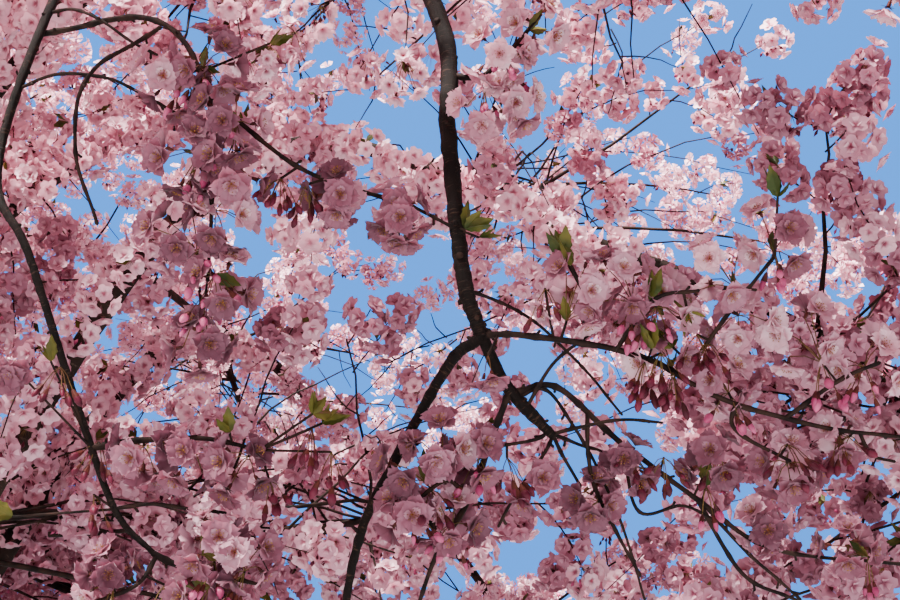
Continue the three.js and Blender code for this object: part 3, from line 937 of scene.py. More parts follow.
def shaken(count, chance):
    """Random moves, from -0.5 to 0.5 along each axis."""
    return chance.random((count, 3)) - 0.5


def grow_clump(spur, heading, count, size, tint, detail, chance):
    """A spur's umbels: open flowers that hang round it on thin stalks."""
    reach = CLUMP_REACH * size
    middle = spur + 0.5 * reach * unit(heading) + 0.35 * reach * DOWN
    ways = even_directions(count, chance.random() * ANY_TURN) + 0.35 * shaken(count, chance)
    layer = np.where(np.arange(count) % 3 == 0, 0.5, 0.82)[:, None]
    places = middle + reach * ways * (layer + 0.3 * chance.random((count, 1)))
    facings = units(ways + 0.3 * DOWN + 0.3 * shaken(count, chance))
    sizes = size * (0.86 + 0.28 * chance.random(count))
    crop("flower", detail, tint).add(places, facings, sizes)
    if detail != "outer":
        add_stalks(spur, places - CUP_DEPTH * facings * sizes[:, None], STALK_RADIUS, detail)


def grow_buds(spur, count, size, tone, detail, chance):
    """Closed buds that hang from a spur on long stalks."""
    ways = units(DOWN + 1.1 * shaken(count, chance))
    ends = spur + STALK_LENGTH * size * ways * (0.7 + 0.5 * chance.random((count, 1)))
    crop("bud", detail, tone).add(ends, ways, np.full(count, size) * (0.8 + 0.4 * chance.random(count)))
    add_stalks(spur, ends, STALK_RADIUS, detail)


def grow_leaves(spur, heading, count, size, detail, chance):
    """Young leaves that leave a spur together and turn a little upwards."""
    ways = unit(heading) + 1.5 * shaken(count, chance) - 0.35 * DOWN
    sizes = size * (0.6 + 0.6 * chance.random(count))
    crop("leaf", detail).add(np.broadcast_to(spur, (count, 3)), ways, sizes)


def crooked(points, chance):
    """Points along a twig, each moved a little aside, as a twig turns at its old buds."""
    reach = 0.16 * np.linalg.norm(points[1] - points[0])
    return [points[0], *(point + reach * (chance.random(3) - 0.5) for point in points[1:-1]), points[-1]]


def grow_along(line, sides, steps, chance):
    """A twig that follows a line and turns a little at its old buds. It gives back the line."""
    points, radii = line.along(steps)
    heap("twigs").add(*tube(crooked(points, chance), radii, sides))
    return line


def bent_twig(start, end, radii, sides, steps, bow, chance):
    """A twig with a small bow to one side."""
    along = end - start
    aside = unit(np.cross(along, chance.random(3) - 0.5)) * bow * np.linalg.norm(along)
    way = [start, start + 0.35 * along + aside, start + 0.7 * along + 0.7 * aside, end]
    return grow_along(Line(way, radii, 4), sides, steps, chance)


# How a spray of the crown is filled, where it is in the view from the eye and elsewhere: its fine twigs
# and the steps along one, the spurs on each, the flowers on a spur and their size, and the share of
# spurs that have buds. Elsewhere the flowers are fewer and larger, so that the crown is full all round.
FILL_IN_VIEW = {"twigs": 6, "steps": 5, "spurs": (0.55, 1.0), "flowers": 13, "size": 0.9, "buds": 0.75}
FILL_ELSEWHERE = {"twigs": 7, "steps": 2, "spurs": (1.0,), "flowers": 8, "size": 1.35, "buds": 0.3}
BUDS_ON_SPUR = 5
PINK_BUD_SHARE = 0.4
LEAVES_ON_SPUR = 3
LEAFY_SHARE = 0.45

# How far off flowers in the view turn to fewer faces, and then to fewer still
MID_DISTANCE = 2.35
FAR_DISTANCE = 3.5

# Finer branches between the sprays of a mass: how many, and the spurs along each
BETWEEN_IN_VIEW = 38
BETWEEN_ELSEWHERE = 14
BETWEEN_SPURS = (0.4, 0.6, 0.8, 1.0)

# Spurs along a bough, the shoots that it sends down and out, and the spurs along a shoot
BOUGH_SPUR_GAP = 0.048
FIRST_BOUGH_SPUR = 0.14
LAST_BOUGH_SPUR = 0.98
SHOOT_GAP = 0.14
SHOOT_LENGTHS = (0.16, 0.42)
FIRST_SHOOT = 0.38
SHOOTING_SHARE = 0.6
SHOOT_SPURS = (0.45, 0.72, 1.0)

# How far a finer branch, a shoot and a bough's spur stay clear of the open space before the hanging
# limb, and the room that a clump and a branch need among the limbs and sprays of other masses
BRANCH_CLEAR = 0.03
SHOOT_CLEAR = 0.06
SPUR_CLEAR = 0.09
CLUMP_ROOM = 0.02
BRANCH_ROOM = 0.002

# The thickness of fine wood from its foot to its tip
FINE_TWIG_RADII = [0.0022, 0.0019, 0.0015, 0.0011]
BETWEEN_RADII = [0.0036, 0.0024, 0.0011]
BOUGH_SPUR_RADII = [0.004, 0.003, 0.002]
SHOOT_RADII = [0.0028, 0.002, 0.001]

# Where the crown lets the sky through: the left, right, foot and top of a part of the view, and the
# share of the spurs there that carry nothing
OPEN_PLACES = [
    (-0.17, 0.0, 0.02, 0.16, 0.3),
    (0.0, 0.16, 0.04, 0.16, 0.7),
    (-0.32, -0.17, 0.16, 0.4, 0.2),
    (-0.17, 0.16, 0.16, 0.4, 0.55),
    (0.16, 0.32, 0.04, 0.4, 0.5),
    (0.32, 0.6, 0.04, 0.4, 0.05),
    (-0.36, 0.03, -0.17, 0.0, 0.6),
    (-0.6, -0.36, -0.17, 0.0, 0.2),
    (-0.2, 0.0, -0.4, -0.17, 0.4),
]


def is_open(at, chance):
    """True for some of the spurs in the view, where the crown lets the sky through."""
    away, right, up = from_eye(at)
    right = right / away * SIGHT
    up = up / away * SIGHT
    dealt = chance.random()
    for left_side, right_side, foot, top, share in OPEN_PLACES:
        if left_side < right < right_side and foot < up < top and dealt < share:
            return True
    return False


# The crown lies in its own shade up to this height, and in full light this much further up
SHADE_HEIGHT = 2.3
LIGHT_RISE = 1.2


def deal_tint(at, chance):
    """A tint for a spray: paler where the crown is high and open, deeper in its shade."""
    height = min(max(at[2] - SHADE_HEIGHT, 0), LIGHT_RISE)
    light = 0.15 + 0.3 * height + 0.12 * math.sin(2.1 * at[0]) + 0.55 * chance.random()
    steps = DEEPEST_IN_CROWN + 1
    return DEEPEST_IN_CROWN - min(max(int(steps * light), 0), DEEPEST_IN_CROWN)


def detail_at(spur, shown):
    """How finely a spur's flowers are made."""
    away = np.linalg.norm(spur - EYE)
    if not shown or away >= FAR_DISTANCE:
        return "outer"
    return "mid" if away < MID_DISTANCE else "far"


def grow_spurs(spurs, own_tint, chance, keep_all=False):
    """A clump at each spur, with buds and young leaves at some of them. Each spur is its place and
    the way it points. A clump's tint can be one step off its spray's own."""
    for spur, heading in spurs:
        shown = in_view(spur, 0.1)
        if shown and is_open(spur, chance) and not keep_all:
            continue
        fill = FILL_IN_VIEW if shown else FILL_ELSEWHERE
        detail = detail_at(spur, shown)
        step = int(chance.integers(-1, 2) * (chance.random() < 0.5))
        tint = min(max(own_tint + step, 0), DEEPEST_IN_CROWN)
        grow_clump(spur, heading, fill["flowers"], fill["size"], TINTS[tint], detail, chance)
        if chance.random() < fill["buds"]:
            tone = "pink" if chance.random() < PINK_BUD_SHARE else "dark"
            grow_buds(spur, BUDS_ON_SPUR, fill["size"], tone, detail, chance)
        if chance.random() < LEAFY_SHARE:
            grow_leaves(spur, heading, LEAVES_ON_SPUR, fill["size"], detail, chance)


def grow_spray(start, at, tip, length, width, radius, seed):
    """Fills a spray's space: its twig, finer twigs that part from it, and spurs with clumps."""
    chance = np.random.default_rng(seed)
    fill = FILL_IN_VIEW if in_view(at, length) else FILL_ELSEWHERE
    axis = unit(tip - start)
    twig = bent_twig(start, tip, [radius, 0.75 * radius, 0.5 * radius, 0.002], 5, 5, 0.02, chance)
    reach = turn_to(axis) @ np.diag([width, length, width])
    span = np.linalg.norm(tip - start)
    spurs = [(tip, axis)]
    for way in even_directions(fill["twigs"], chance.random() * ANY_TURN):
        end = at + 0.8 * reach @ way[[0, 2, 1]]
        # A fine twig leaves its twig a little before the place that it reaches beside it
        leave = min(max(1 - (tip - end) @ axis / span - 0.45 * width / span, 0.1), 0.97)
        root = twig.at(leave)
        fine = bent_twig(root, end, FINE_TWIG_RADII, 3, fill["steps"], 0.08, chance)
        spurs += [(fine.at(share), end - root) for share in fill["spurs"]]
    grow_spurs(spurs, deal_tint(at, chance), chance)


def grow_between(name, root, stem, centre, ring, seed):
    """Finer branches that fill the space between a mass's sprays, where nothing else grows."""
    chance = np.random.default_rng(seed + 5000)
    reach = np.array([ring["width"], ring["width"], ring["rise"]])
    count = BETWEEN_IN_VIEW if in_view(centre, 0.3) else BETWEEN_ELSEWHERE
    steps = 8
    for way in even_directions(count, chance.random() * ANY_TURN):
        start = stem.at(0.3 + 0.65 * chance.random())
        end = centre + reach * way * (0.5 + 0.48 * chance.random())
        arch = 0.5 * (start + end) - 0.12 * np.linalg.norm(end - start) * DOWN
        line = Line([start, arch, end], BETWEEN_RADII, 5)
        points, _ = line.along(steps)
        if any(in_clearing(point, BRANCH_CLEAR) for point in points):
            continue
        if not room.fits([(point, BRANCH_ROOM) for point in points[2:]], name):
            continue
        grow_along(line, 4, steps, chance)
        spurs = []
        for share in BETWEEN_SPURS:
            aside = 0.05 * (chance.random(3) - 0.5)
            if room.fits([(line.at(share) + aside, CLUMP_ROOM)], name):
                spurs.append((line.at(share) + aside, line.tangent(share) + 4 * aside))
        grow_spurs(spurs, deal_tint(end, chance), chance)


def across(line, share, chance):
    """A direction at random, square to a line."""
    return unit(np.cross(line.tangent(share), chance.random(3) - 0.5))


def grow_bough_spurs(line, chance):
    """Short spurs with clumps along the outer part of a bough, as old cherry wood carries them. In the
    view they stand on its near side."""
    count = int((1 - FIRST_BOUGH_SPUR) * line.length() / BOUGH_SPUR_GAP)
    spurs = []
    for i in range(count):
        place = (i + 0.6 * chance.random()) / count
        share = FIRST_BOUGH_SPUR + (LAST_BOUGH_SPUR - FIRST_BOUGH_SPUR) * place
        start = line.at(share)
        aside = across(line, share, chance)
        way = unit(0.2 * aside - FORWARD if in_view(start, 0.1) else aside + 0.7 * DOWN)
        end = start + way * (line.radius(share) + 0.02 + 0.04 * chance.random())
        if in_clearing(end, SPUR_CLEAR):
            continue
        add_spur("twigs", start, end, BOUGH_SPUR_RADII, 4)
        spurs.append((end, way))
    grow_spurs(spurs, deal_tint(line.at(0.7), chance), chance, keep_all=True)


def grow_shoots(name, line, chance):
    """Longer shoots that leave a bough outwards and hang at their ends."""
    gap = SHOOT_GAP / (SHOOTING_SHARE * line.length())
    shortest, longest = SHOOT_LENGTHS
    steps = 6
    for i in range(int(SHOOTING_SHARE * line.length() / SHOOT_GAP)):
        share = FIRST_SHOOT + SHOOTING_SHARE * (i + chance.random()) * gap
        start = line.at(min(share, LAST_BOUGH_SPUR))
        length = shortest + (longest - shortest) * chance.random()
        way = unit(across(line, share, chance) + 0.5 * DOWN)
        end = start + length * unit(way + 0.6 * DOWN)
        shoot = Line([start, start + 0.5 * length * way, end], SHOOT_RADII, 4)
        points, _ = shoot.along(steps)
        if any(in_clearing(point, SHOOT_CLEAR) for point in points):
            continue
        if not room.fits([(end, CLUMP_ROOM)], name):
            continue
        grow_along(shoot, 4, steps, chance)
        spurs = [(shoot.at(place), shoot.tangent(place)) for place in SHOOT_SPURS]
        grow_spurs(spurs, deal_tint(end, chance), chance)


for name, root, stem, centre, ring, seed in crown_masses:
    heap("twigs").add(*tube(*stem.along(14), 7))
for spray in crown_sprays:
    grow_spray(*spray)
for mass in crown_masses:
    grow_between(*mass)
for i, (name, line) in enumerate(limbs.items()):
    if "bough" in name:
        chance = np.random.default_rng(900 + i)
        grow_bough_spurs(line, chance)
        grow_shoots(name, line, chance)

# Finer twigs that show sharp against the sky beside the hanging limb: what each leaves, the share of
# that line where it leaves, and its way through the view
FINE_TWIGS = [
    (
        hanging_limb,
        0.79,
        [
            (0.053, -0.002, 1.53), (0.079, -0.016, 1.55), (0.108, -0.039, 1.57), (0.147, -0.079, 1.6),
            (0.181, -0.121, 1.62),
        ],
    ),
    (right_branch, 0.62, [(0.106, -0.07, 1.462), (0.135, -0.045, 1.455), (0.16, -0.027, 1.45)]),
    (
        right_branch,
        0.5,
        [
            (0.1, -0.094, 1.47), (0.13, -0.132, 1.48), (0.155, -0.178, 1.485), (0.18, -0.234, 1.49),
            (0.205, -0.316, 1.5),
        ],
    ),
    (right_branch, 0.97, [(0.152, -0.13, 1.47), (0.188, -0.126, 1.48), (0.224, -0.129, 1.49)]),
    (right_branch, 0.93, [(0.088, -0.147, 1.45), (0.05, -0.153, 1.44), (0.015, -0.148, 1.43)]),
    (right_branch, 0.99, [(0.098, -0.162, 1.45), (0.067, -0.209, 1.44), (0.051, -0.238, 1.435)]),
    (right_branch, 0.99, [(0.118, -0.163, 1.46), (0.131, -0.184, 1.462), (0.138, -0.196, 1.464)]),
    (right_branch, 0.96, [(0.138, -0.153, 1.5), (0.158, -0.159, 1.52), (0.173, -0.171, 1.54)]),
    (
        near_stems["near_blossom_low_right"],
        0.62,
        [(0.307, -0.26, 1.53), (0.345, -0.295, 1.53), (0.369, -0.315, 1.53)],
    ),
    (
        near_stems["near_blossom_low_right"],
        0.4,
        [(0.198, -0.222, 1.5), (0.245, -0.217, 1.5), (0.283, -0.234, 1.5)],
    ),
    (near_stems["near_blossom_right"], 0.86, [(0.444, -0.163, 1.43), (0.468, -0.17, 1.43)]),
    (trailing_limb, 0.83, [(-0.313, -0.214, 1.43), (-0.273, -0.22, 1.43), (-0.236, -0.224, 1.43)]),
    (
        trailing_limb,
        0.18,
        [(-0.395, 0.306, 1.6), (-0.37, 0.296, 1.57), (-0.337, 0.274, 1.55), (-0.308, 0.258, 1.54)],
    ),
    (
        trailing_limb,
        0.25,
        [(-0.41, 0.238, 1.55), (-0.36, 0.233, 1.53), (-0.317, 0.213, 1.52), (-0.273, 0.188, 1.51)],
    ),
]
SHARP_TWIG_RADII = [0.0021, 0.0018, 0.0015]
for holder, share, places in FINE_TWIGS:
    near_lines.append(Line(seen_way(holder.on_step(share), places), SHARP_TWIG_RADII, 4))

# A thin stem's points and a limb's knobs stand this far apart. Every seventh point is a knuckle, a
# little thicker than the stem, and the stem wobbles by up to about a millimetre.
NEAR_STEM_GAP = 0.006
KNOB_GAP = 0.035
KNUCKLE_EVERY = 7
KNUCKLE_SWELL = 0.3
WOBBLE = 0.0012
WOBBLE_LENGTH = 1 / 26
SIDE_SPUR_RADII = [0.0016, 0.0014, 0.0017]
LONE_SPUR_RADII = [0.0016, 0.0014, 0.0014]
near_chance = np.random.default_rng(29)
noise.seed_set(29)


def add_near_line(line):
    """A thin stem close by the eye, with knuckles where its old spurs stand and a short side spur at
    every other one."""
    count = max(6, round(line.length() / NEAR_STEM_GAP))
    middle = KNUCKLE_EVERY // 2
    points = []
    radii = []
    for i in range(count + 1):
        at = line.at(i / count)
        knuckle = math.exp(-(((i % KNUCKLE_EVERY) - middle) / 0.9) ** 2)
        wobble = WOBBLE * noise.noise_vector(Vector(at) / WOBBLE_LENGTH)
        points.append(at + np.array(wobble))
        radii.append(line.radius(i / count) * (1 + KNUCKLE_SWELL * knuckle))
    heap("near_twigs").add(*tube(points, radii, 8))
    for i in range(middle, count, 2 * KNUCKLE_EVERY):
        share = i / count
        start = line.at(share)
        end = start + 0.007 * across(line, share, near_chance) + 0.004 * line.tangent(share)
        add_spur("near_twigs", start, end, SIDE_SPUR_RADII, 6)


def add_knobs(line):
    """Blunt knobs along a limb, where old spurs stood."""
    count = int(line.length() / KNOB_GAP)
    for i in range(count):
        share = (i + 0.2 + 0.6 * near_chance.random()) / count
        way = unit(np.cross(line.tangent(share), near_chance.random(3) - 0.5) + 0.3 * line.tangent(share))
        start = line.at(share)
        end = start + way * line.radius(share) * (1.1 + 0.6 * near_chance.random())
        radius = line.radius(share) * (0.22 + 0.22 * near_chance.random())
        add_spur("near_twigs", start, end, [1.5 * radius, radius, 1.1 * radius], 8)


for line in near_lines:
    add_near_line(line)
for line in (hanging_limb, left_branch, right_branch, trailing_limb):
    add_knobs(line)

# A cluster close by the eye has six open flowers, and one more where its half length is large. Some
# have buds, and some young leaves.
NEAR_FLOWERS = 6
LARGE_CLUSTER = 0.03
NEAR_BUD_SHARE = 0.6
NEAR_LEAF_SHARE = 0.4


def grow_near_cluster(start, at, size, radius, tints):
    """A spur with open flowers round it, most of which face the eye and hang a little, and buds and
    leaves on some."""
    spur = start + 0.4 * (at - start)
    add_spur("near_twigs", start, spur, [radius, 0.8 * radius, 0.0016], 6)
    count = NEAR_FLOWERS + int(size > LARGE_CLUSTER)
    ways = even_directions(count, near_chance.random() * ANY_TURN) + 0.3 * shaken(count, near_chance)
    places = at + 0.9 * size * ways
    facings = units(ways - 0.25 * FORWARD + 0.2 * DOWN + 0.4 * shaken(count, near_chance))
    sizes = 0.9 + 0.2 * near_chance.random(count)
    dealt = near_chance.integers(len(tints), size=count)
    for i in np.unique(dealt):
        some = dealt == i
        crop("flower", "near", tints[i]).add(places[some], facings[some], sizes[some])
    add_stalks(spur, places - CUP_DEPTH * facings, NEAR_STALK_RADIUS, "near")
    if near_chance.random() < NEAR_BUD_SHARE:
        grow_buds(spur, 4, 1.0, "pink", "near", near_chance)
    if near_chance.random() < NEAR_LEAF_SHARE:
        grow_leaves(spur, at - start, 2, 0.7, "near", near_chance)


for cluster in near_clusters:
    grow_near_cluster(*cluster)

# Bunches of closed buds and groups of young leaves close by the eye: right, up, away, and how many
BUD_BUNCHES = [
    (-0.178, 0.128, 1.45, 9), (-0.15, 0.122, 1.45, 6), (0.222, -0.056, 1.43, 8), (0.205, -0.066, 1.43, 6),
    (0.235, -0.076, 1.43, 7), (0.26, -0.036, 1.43, 6), (0.272, -0.046, 1.43, 6), (0.1, 0.012, 1.45, 4),
    (0.19, -0.16, 1.48, 6), (0.225, -0.166, 1.48, 6), (0.28, -0.158, 1.5, 6), (0.355, -0.152, 1.43, 7),
    (0.41, -0.142, 1.43, 6), (0.06, -0.166, 1.44, 5), (-0.02, -0.2, 1.41, 5), (-0.19, -0.19, 1.43, 5),
    (-0.37, -0.15, 1.45, 5), (-0.3, -0.3, 1.41, 5), (-0.145, -0.135, 1.43, 6), (-0.125, -0.16, 1.43, 5),
    (-0.41, -0.07, 1.44, 5), (-0.375, -0.205, 1.43, 4),
]
LEAF_GROUPS = [
    (0.345, 0.108, 1.42, 5), (0.12, 0.045, 1.44, 5), (0.016, 0.074, 1.48, 5), (0.03, 0.066, 1.48, 3),
    (-0.232, -0.14, 1.43, 2), (-0.46, -0.228, 1.42, 3), (-0.19, 0.27, 1.48, 4), (0.21, 0.0, 1.42, 3),
    (-0.42, -0.065, 1.44, 4), (-0.135, -0.13, 1.43, 4), (0.235, -0.05, 1.43, 6), (0.212, -0.052, 1.42, 5),
    (0.25, -0.012, 1.42, 4), (0.128, 0.036, 1.43, 3), (-0.145, -0.12, 1.42, 4),
]
# Open flowers in twos and threes, apart from the clusters
LONE_FLOWERS = [
    (0.04, -0.058, 1.41, 2), (-0.05, 0.086, 1.45, 3), (-0.115, 0.112, 1.45, 2), (-0.46, -0.07, 1.42, 3),
    (0.09, -0.19, 1.45, 2),
]
SHORTEST_SPUR = 0.004
near_points = [point for line in near_lines for point in line.along(12)[0]]


def spurs_to(groups):
    """A short spur from the nearest thin stem to each group. It gives back where the spur starts and
    ends, and how many things hang there."""
    for right, up, away, count in groups:
        at = seen(right, up, away)
        start = min(near_points, key=lambda point: np.linalg.norm(point - at))
        if np.linalg.norm(at - start) > SHORTEST_SPUR:
            add_spur("near_twigs", start, at, LONE_SPUR_RADII, 6)
        yield start, at, count


for _, at, count in spurs_to(LONE_FLOWERS):
    ways = units(-0.6 * FORWARD + 0.4 * DOWN + 1.6 * shaken(count, near_chance))
    places = at + 0.026 * ways
    # Their deep mauve tint is painted shade, as with the shaded clusters by the eye
    crop("flower", "near", "mauve").add(places, ways, 0.9 + 0.2 * near_chance.random(count))
    add_stalks(at, places - CUP_DEPTH * ways, NEAR_STALK_RADIUS, "near")
for _, at, count in spurs_to(BUD_BUNCHES):
    grow_buds(at, count, 1.0, "dark", "near", near_chance)
for start, at, count in spurs_to(LEAF_GROUPS):
    grow_leaves(at, at - start + 0.01 * UPWARD, count, 0.75, "near", near_chance)

# The crops are made as copies of a few shapes of each kind
deal = np.random.default_rng(7)
FLOWER_KINDS = {"near": 6, "mid": 4, "far": 4, "outer": 3}
FLOWERS = {}
for detail, kinds in FLOWER_KINDS.items():
    FLOWERS[detail] = [flower_shapes(detail, deal) for _ in range(kinds)]


def sow_flowers(some, detail, tint):
    """Flowers of one tint. Their inner petals are a tint paler, and the finer the flower the more of its
    middle and back it has."""
    dealt, places, turns, sizes = some.deal(len(FLOWERS[detail]), deal)
    paler = TINTS[max(TINTS.index(tint) - 1, 0)]
    for i, (outer, inner) in enumerate(FLOWERS[detail]):
        copies = (places[dealt == i], turns[dealt == i], sizes[dealt == i])
        heap(f"{detail}_petals_{tint}").add_copies(outer, *copies)
        heap(f"{detail}_petals_{paler}").add_copies(inner, *copies)
    if detail == "near":
        heap("stamens").add_copies(stamens_shape(deal), places, turns, sizes)
    if detail in ("near", "mid"):
        heap("hearts").add_copies(heart_shape(), places, turns, sizes)
    if detail != "outer":
        heap("cups").add_copies(cup_shape(detail), places, turns, sizes)


for (thing, detail, *tone), some in crops.items():
    if thing == "flower":
        sow_flowers(some, detail, *tone)
    elif thing == "bud":
        some.sow(heap(f"buds_{tone[0]}"), [bud_shape(fat, detail) for fat in (0.8, 1.0, 1.2)], deal)
        if detail == "near":
            some.sow(heap("cups"), [bud_cup_shape()], deal)
    else:
        some.sow(heap("leaves"), [leaf_shape(detail)], deal)


# Materials
def from_hex(colour):
    """An sRGB hex value as linear red, green, blue and alpha."""
    values = [int(colour[i : i + 2], 16) / 255 for i in (1, 3, 5)]
    return (*(v / 12.92 if v <= 0.04045 else ((v + 0.055) / 1.055) ** 2.4 for v in values), 1)


def new_material(name):
    material = bpy.data.materials.new(name)
    material.use_nodes = True
    material.node_tree.nodes.clear()
    return material


def add_node(owner, kind, settings, links=(), stops=()):
    """Adds a node with its settings, links its inputs from other nodes' outputs, and gives a colour ramp
    its stops, from its lowest position to its highest."""
    node = owner.node_tree.nodes.new(kind)
    for key, value in settings.items():
        if isinstance(key, int) or key in node.inputs:
            node.inputs[key].default_value = value
        else:
            setattr(node, key, value)
    for socket, source in links:
        owner.node_tree.links.new(source, node.inputs[socket])
    if stops:
        ramp = node.color_ramp.elements
        for position, colour in stops[1:-1]:
            ramp.new(position).color = from_hex(colour)
        for stop, (position, colour) in zip((ramp[0], ramp[-1]), (stops[0], stops[-1])):
            stop.position = position
            stop.color = from_hex(colour)
    return node


def cloud(material, place, size, detail):
    """Noise from 0 to 1 that changes over a size in metres."""
    settings = {"Scale": 1 / size, "Detail": detail}
    return add_node(material, "ShaderNodeTexNoise", settings, [("Vector", place)]).outputs["Fac"]


def patches(material, place, size, detail, stops):
    """Patches of a size in metres, which run from one colour to another."""
    links = [("Fac", cloud(material, place, size, detail))]
    return add_node(material, "ShaderNodeValToRGB", {}, links, stops).outputs["Color"]


def fine_relief(material, place, size, detail, strength, height):
    """Grains of a size in metres that stand up from the surface."""
    settings = {"Strength": strength, "Distance": height}
    links = [("Height", cloud(material, place, size, detail))]
    return add_node(material, "ShaderNodeBump", settings, links).outputs["Normal"]


def finish_surface(material, shader):
    add_node(material, "ShaderNodeOutputMaterial", {}, [("Surface", shader)])
    return material


def petal_skin(name, throat, middle, edge, deep, shine_through):
    """Cherry petal, grown as a skin a fraction of a millimetre thick, so it is soft and matt, and light
    shines through it. It is deep rose in the flower's throat and pale at its edge, and some flowers are
    deeper than their neighbours."""
    material = new_material(name)
    place = add_node(material, "ShaderNodeTexCoord", {}).outputs["Object"]
    share = add_node(material, "ShaderNodeAttribute", {"attribute_name": "petal_share"})
    stops = [(0.2, throat), (0.55, middle), (1.0, edge)]
    blend = add_node(material, "ShaderNodeValToRGB", {}, [("Fac", share.outputs["Fac"])], stops)
    # Neighbouring flowers differ over some 50 mm
    ripe = add_node(
        material,
        "ShaderNodeMapRange",
        {"From Min": 0.45, "From Max": 0.72, "To Max": 0.75},
        [("Value", cloud(material, place, 0.05, 1.0))],
    )
    tone = add_node(
        material,
        "ShaderNodeMix",
        {"data_type": "RGBA", 7: from_hex(deep)},
        [(0, ripe.outputs["Result"]), (6, blend.outputs["Color"])],
    )
    # Petals crinkle over about 3 mm
    crinkle = fine_relief(material, place, 0.003, 2.0, 0.35, 0.0006)
    surface = add_node(
        material,
        "ShaderNodeBsdfPrincipled",
        {"Roughness": 0.6, "IOR": 1.4, "Sheen Weight": 0.15},
        [("Base Color", tone.outputs["Result"]), ("Normal", crinkle)],
    )
    through = add_node(material, "ShaderNodeBsdfTranslucent", {"Color": from_hex(shine_through)})
    layers = [(1, surface.outputs["BSDF"]), (2, through.outputs["BSDF"])]
    both = add_node(material, "ShaderNodeMixShader", {"Fac": 0.3}, layers)
    return finish_surface(material, both.outputs["Shader"])


def plant_skin(name, dark, light, roughness, grain, patch):
    """A thin grown skin that goes from one colour to another over patches, with a fine grain."""
    material = new_material(name)
    place = add_node(material, "ShaderNodeTexCoord", {}).outputs["Object"]
    tone = patches(material, place, patch, 2.0, [(0.4, dark), (0.62, light)])
    relief = fine_relief(material, place, grain, 3.0, 0.3, 0.0004)
    settings = {"Roughness": roughness, "Specular IOR Level": 0.15}
    links = [("Base Color", tone), ("Normal", relief)]
    surface = add_node(material, "ShaderNodeBsdfPrincipled", settings, links)
    return finish_surface(material, surface.outputs["BSDF"])


def bark_skin(name, dark, light, cork, roughness, band, patch):
    """Cherry bark: a satin skin that peels in rings, crossed by rows of corky lenticels. The rings
    follow limb_place, which gives each point's place as if its limb stood straight."""
    material = new_material(name)
    place = add_node(material, "ShaderNodeAttribute", {"attribute_name": "limb_place"}).outputs["Vector"]
    scale = {"Scale": (0.22 / band, 0.22 / band, 1 / band)}
    rings = add_node(material, "ShaderNodeMapping", scale, [("Vector", place)]).outputs["Vector"]
    settings = {"Scale": 1.0, "Detail": 4.0, "Roughness": 0.6}
    lenticels = add_node(material, "ShaderNodeTexNoise", settings, [("Vector", rings)])
    fac = [("Fac", lenticels.outputs["Fac"])]
    raised = [(0.58, "#000000"), (0.66, "#FFFFFF")]
    corky = add_node(material, "ShaderNodeValToRGB", {}, fac, raised).outputs["Color"]
    blotch = patches(material, place, patch, 6.0, [(0.35, dark), (0.7, light)])
    mixing = {"data_type": "RGBA", 7: from_hex(cork)}
    tone = add_node(material, "ShaderNodeMix", mixing, [(0, corky), (6, blotch)])
    # The grain is too fine to show by itself, and dulls the skin
    heights = [(0, corky), (2, cloud(material, rings, 0.2 * band, 5.0))]
    relief = add_node(material, "ShaderNodeMath", {"operation": "MULTIPLY_ADD", 1: 0.8}, heights)
    settings = {"Strength": 0.6, "Distance": 0.3 * band}
    bump = add_node(material, "ShaderNodeBump", settings, [("Height", relief.outputs["Value"])])
    settings = {"Roughness": roughness, "Specular IOR Level": 0.12}
    links = [("Base Color", tone.outputs["Result"]), ("Normal", bump.outputs["Normal"])]
    surface = add_node(material, "ShaderNodeBsdfPrincipled", settings, links)
    return finish_surface(material, surface.outputs["BSDF"])


# Throat, middle and edge of the petal, its deeper neighbours, and the light that shines through
PETAL_COLOURS = {
    "shell": ("#96425E", "#ECCFDA", "#E9C2CF", "#D698AC", "#EFAABA"),
    "blush": ("#82344F", "#CEA2B2", "#CC9AAC", "#B4788C", "#D68A9C"),
    "rose": ("#6E2A45", "#B27C90", "#B27E92", "#94546A", "#BA687C"),
    "mauve": ("#5A2238", "#94596C", "#986074", "#743A4E", "#9A4E62"),
    "dusk": ("#481A2C", "#7C485A", "#825062", "#5C2A3C", "#7C3C50"),
}
petal_skins = {tint: petal_skin(f"petal_{tint}", *PETAL_COLOURS[tint]) for tint in TINTS}

# Old bark, weathered dull and nearly black, with grey-brown patches of 90 mm and lenticels of 5 mm,
# drawn a little coarser than the real ones so that they show from a few metres away
old_bark = bark_skin("cherry_bark", "#17110F", "#3B302A", "#4F4037", 0.85, 0.005, 0.09)
# Young bark on the limbs by the eye, smoother and darker than the old, with patches of 30 mm and lenticels of
# 2.5 mm. Its own dark brown is darkened nearly to black as painted shade, for limbs seen from below in shade
shaded_limb_bark = bark_skin("young_cherry_bark_painted_shade", "#080403", "#180F0C", "#3A281F", 0.7, 0.0025, 0.03)
# This year's twigs have a dry dark brown rind, in patches of 20 mm
twig_bark = plant_skin("twig_bark", "#140C0A", "#2E1E18", 0.8, 0.002, 0.02)
# Stalks are a soft green rind flushed with red over lengths of 30 mm
stalk_skin = plant_skin("stalk_green_red", "#54341F", "#6F5A30", 0.6, 0.002, 0.03)
# The cup and sepals have a firm red-brown skin, paler over 20 mm from flower to flower
cup_skin = plant_skin("calyx_red_brown", "#3A1416", "#5A2A22", 0.6, 0.002, 0.02)
# The throat's skin is moist and deep red, and differs over 10 mm
heart_skin = plant_skin("flower_heart", "#7A2432", "#8E3A34", 0.6, 0.001, 0.01)
# Stamens are dusty yellow threads with pollen grains drawn as a grain of half a millimetre
stamen_skin = plant_skin("stamen_yellow", "#8E5C26", "#B4843C", 0.7, 0.0005, 0.01)
# Buds are petals rolled tight, so they are smoother and deeper than open flowers
pink_bud = plant_skin("bud_pink", "#923258", "#C8648A", 0.45, 0.002, 0.02)
dark_bud = plant_skin("bud_dark_red", "#42121F", "#6A2438", 0.45, 0.002, 0.02)
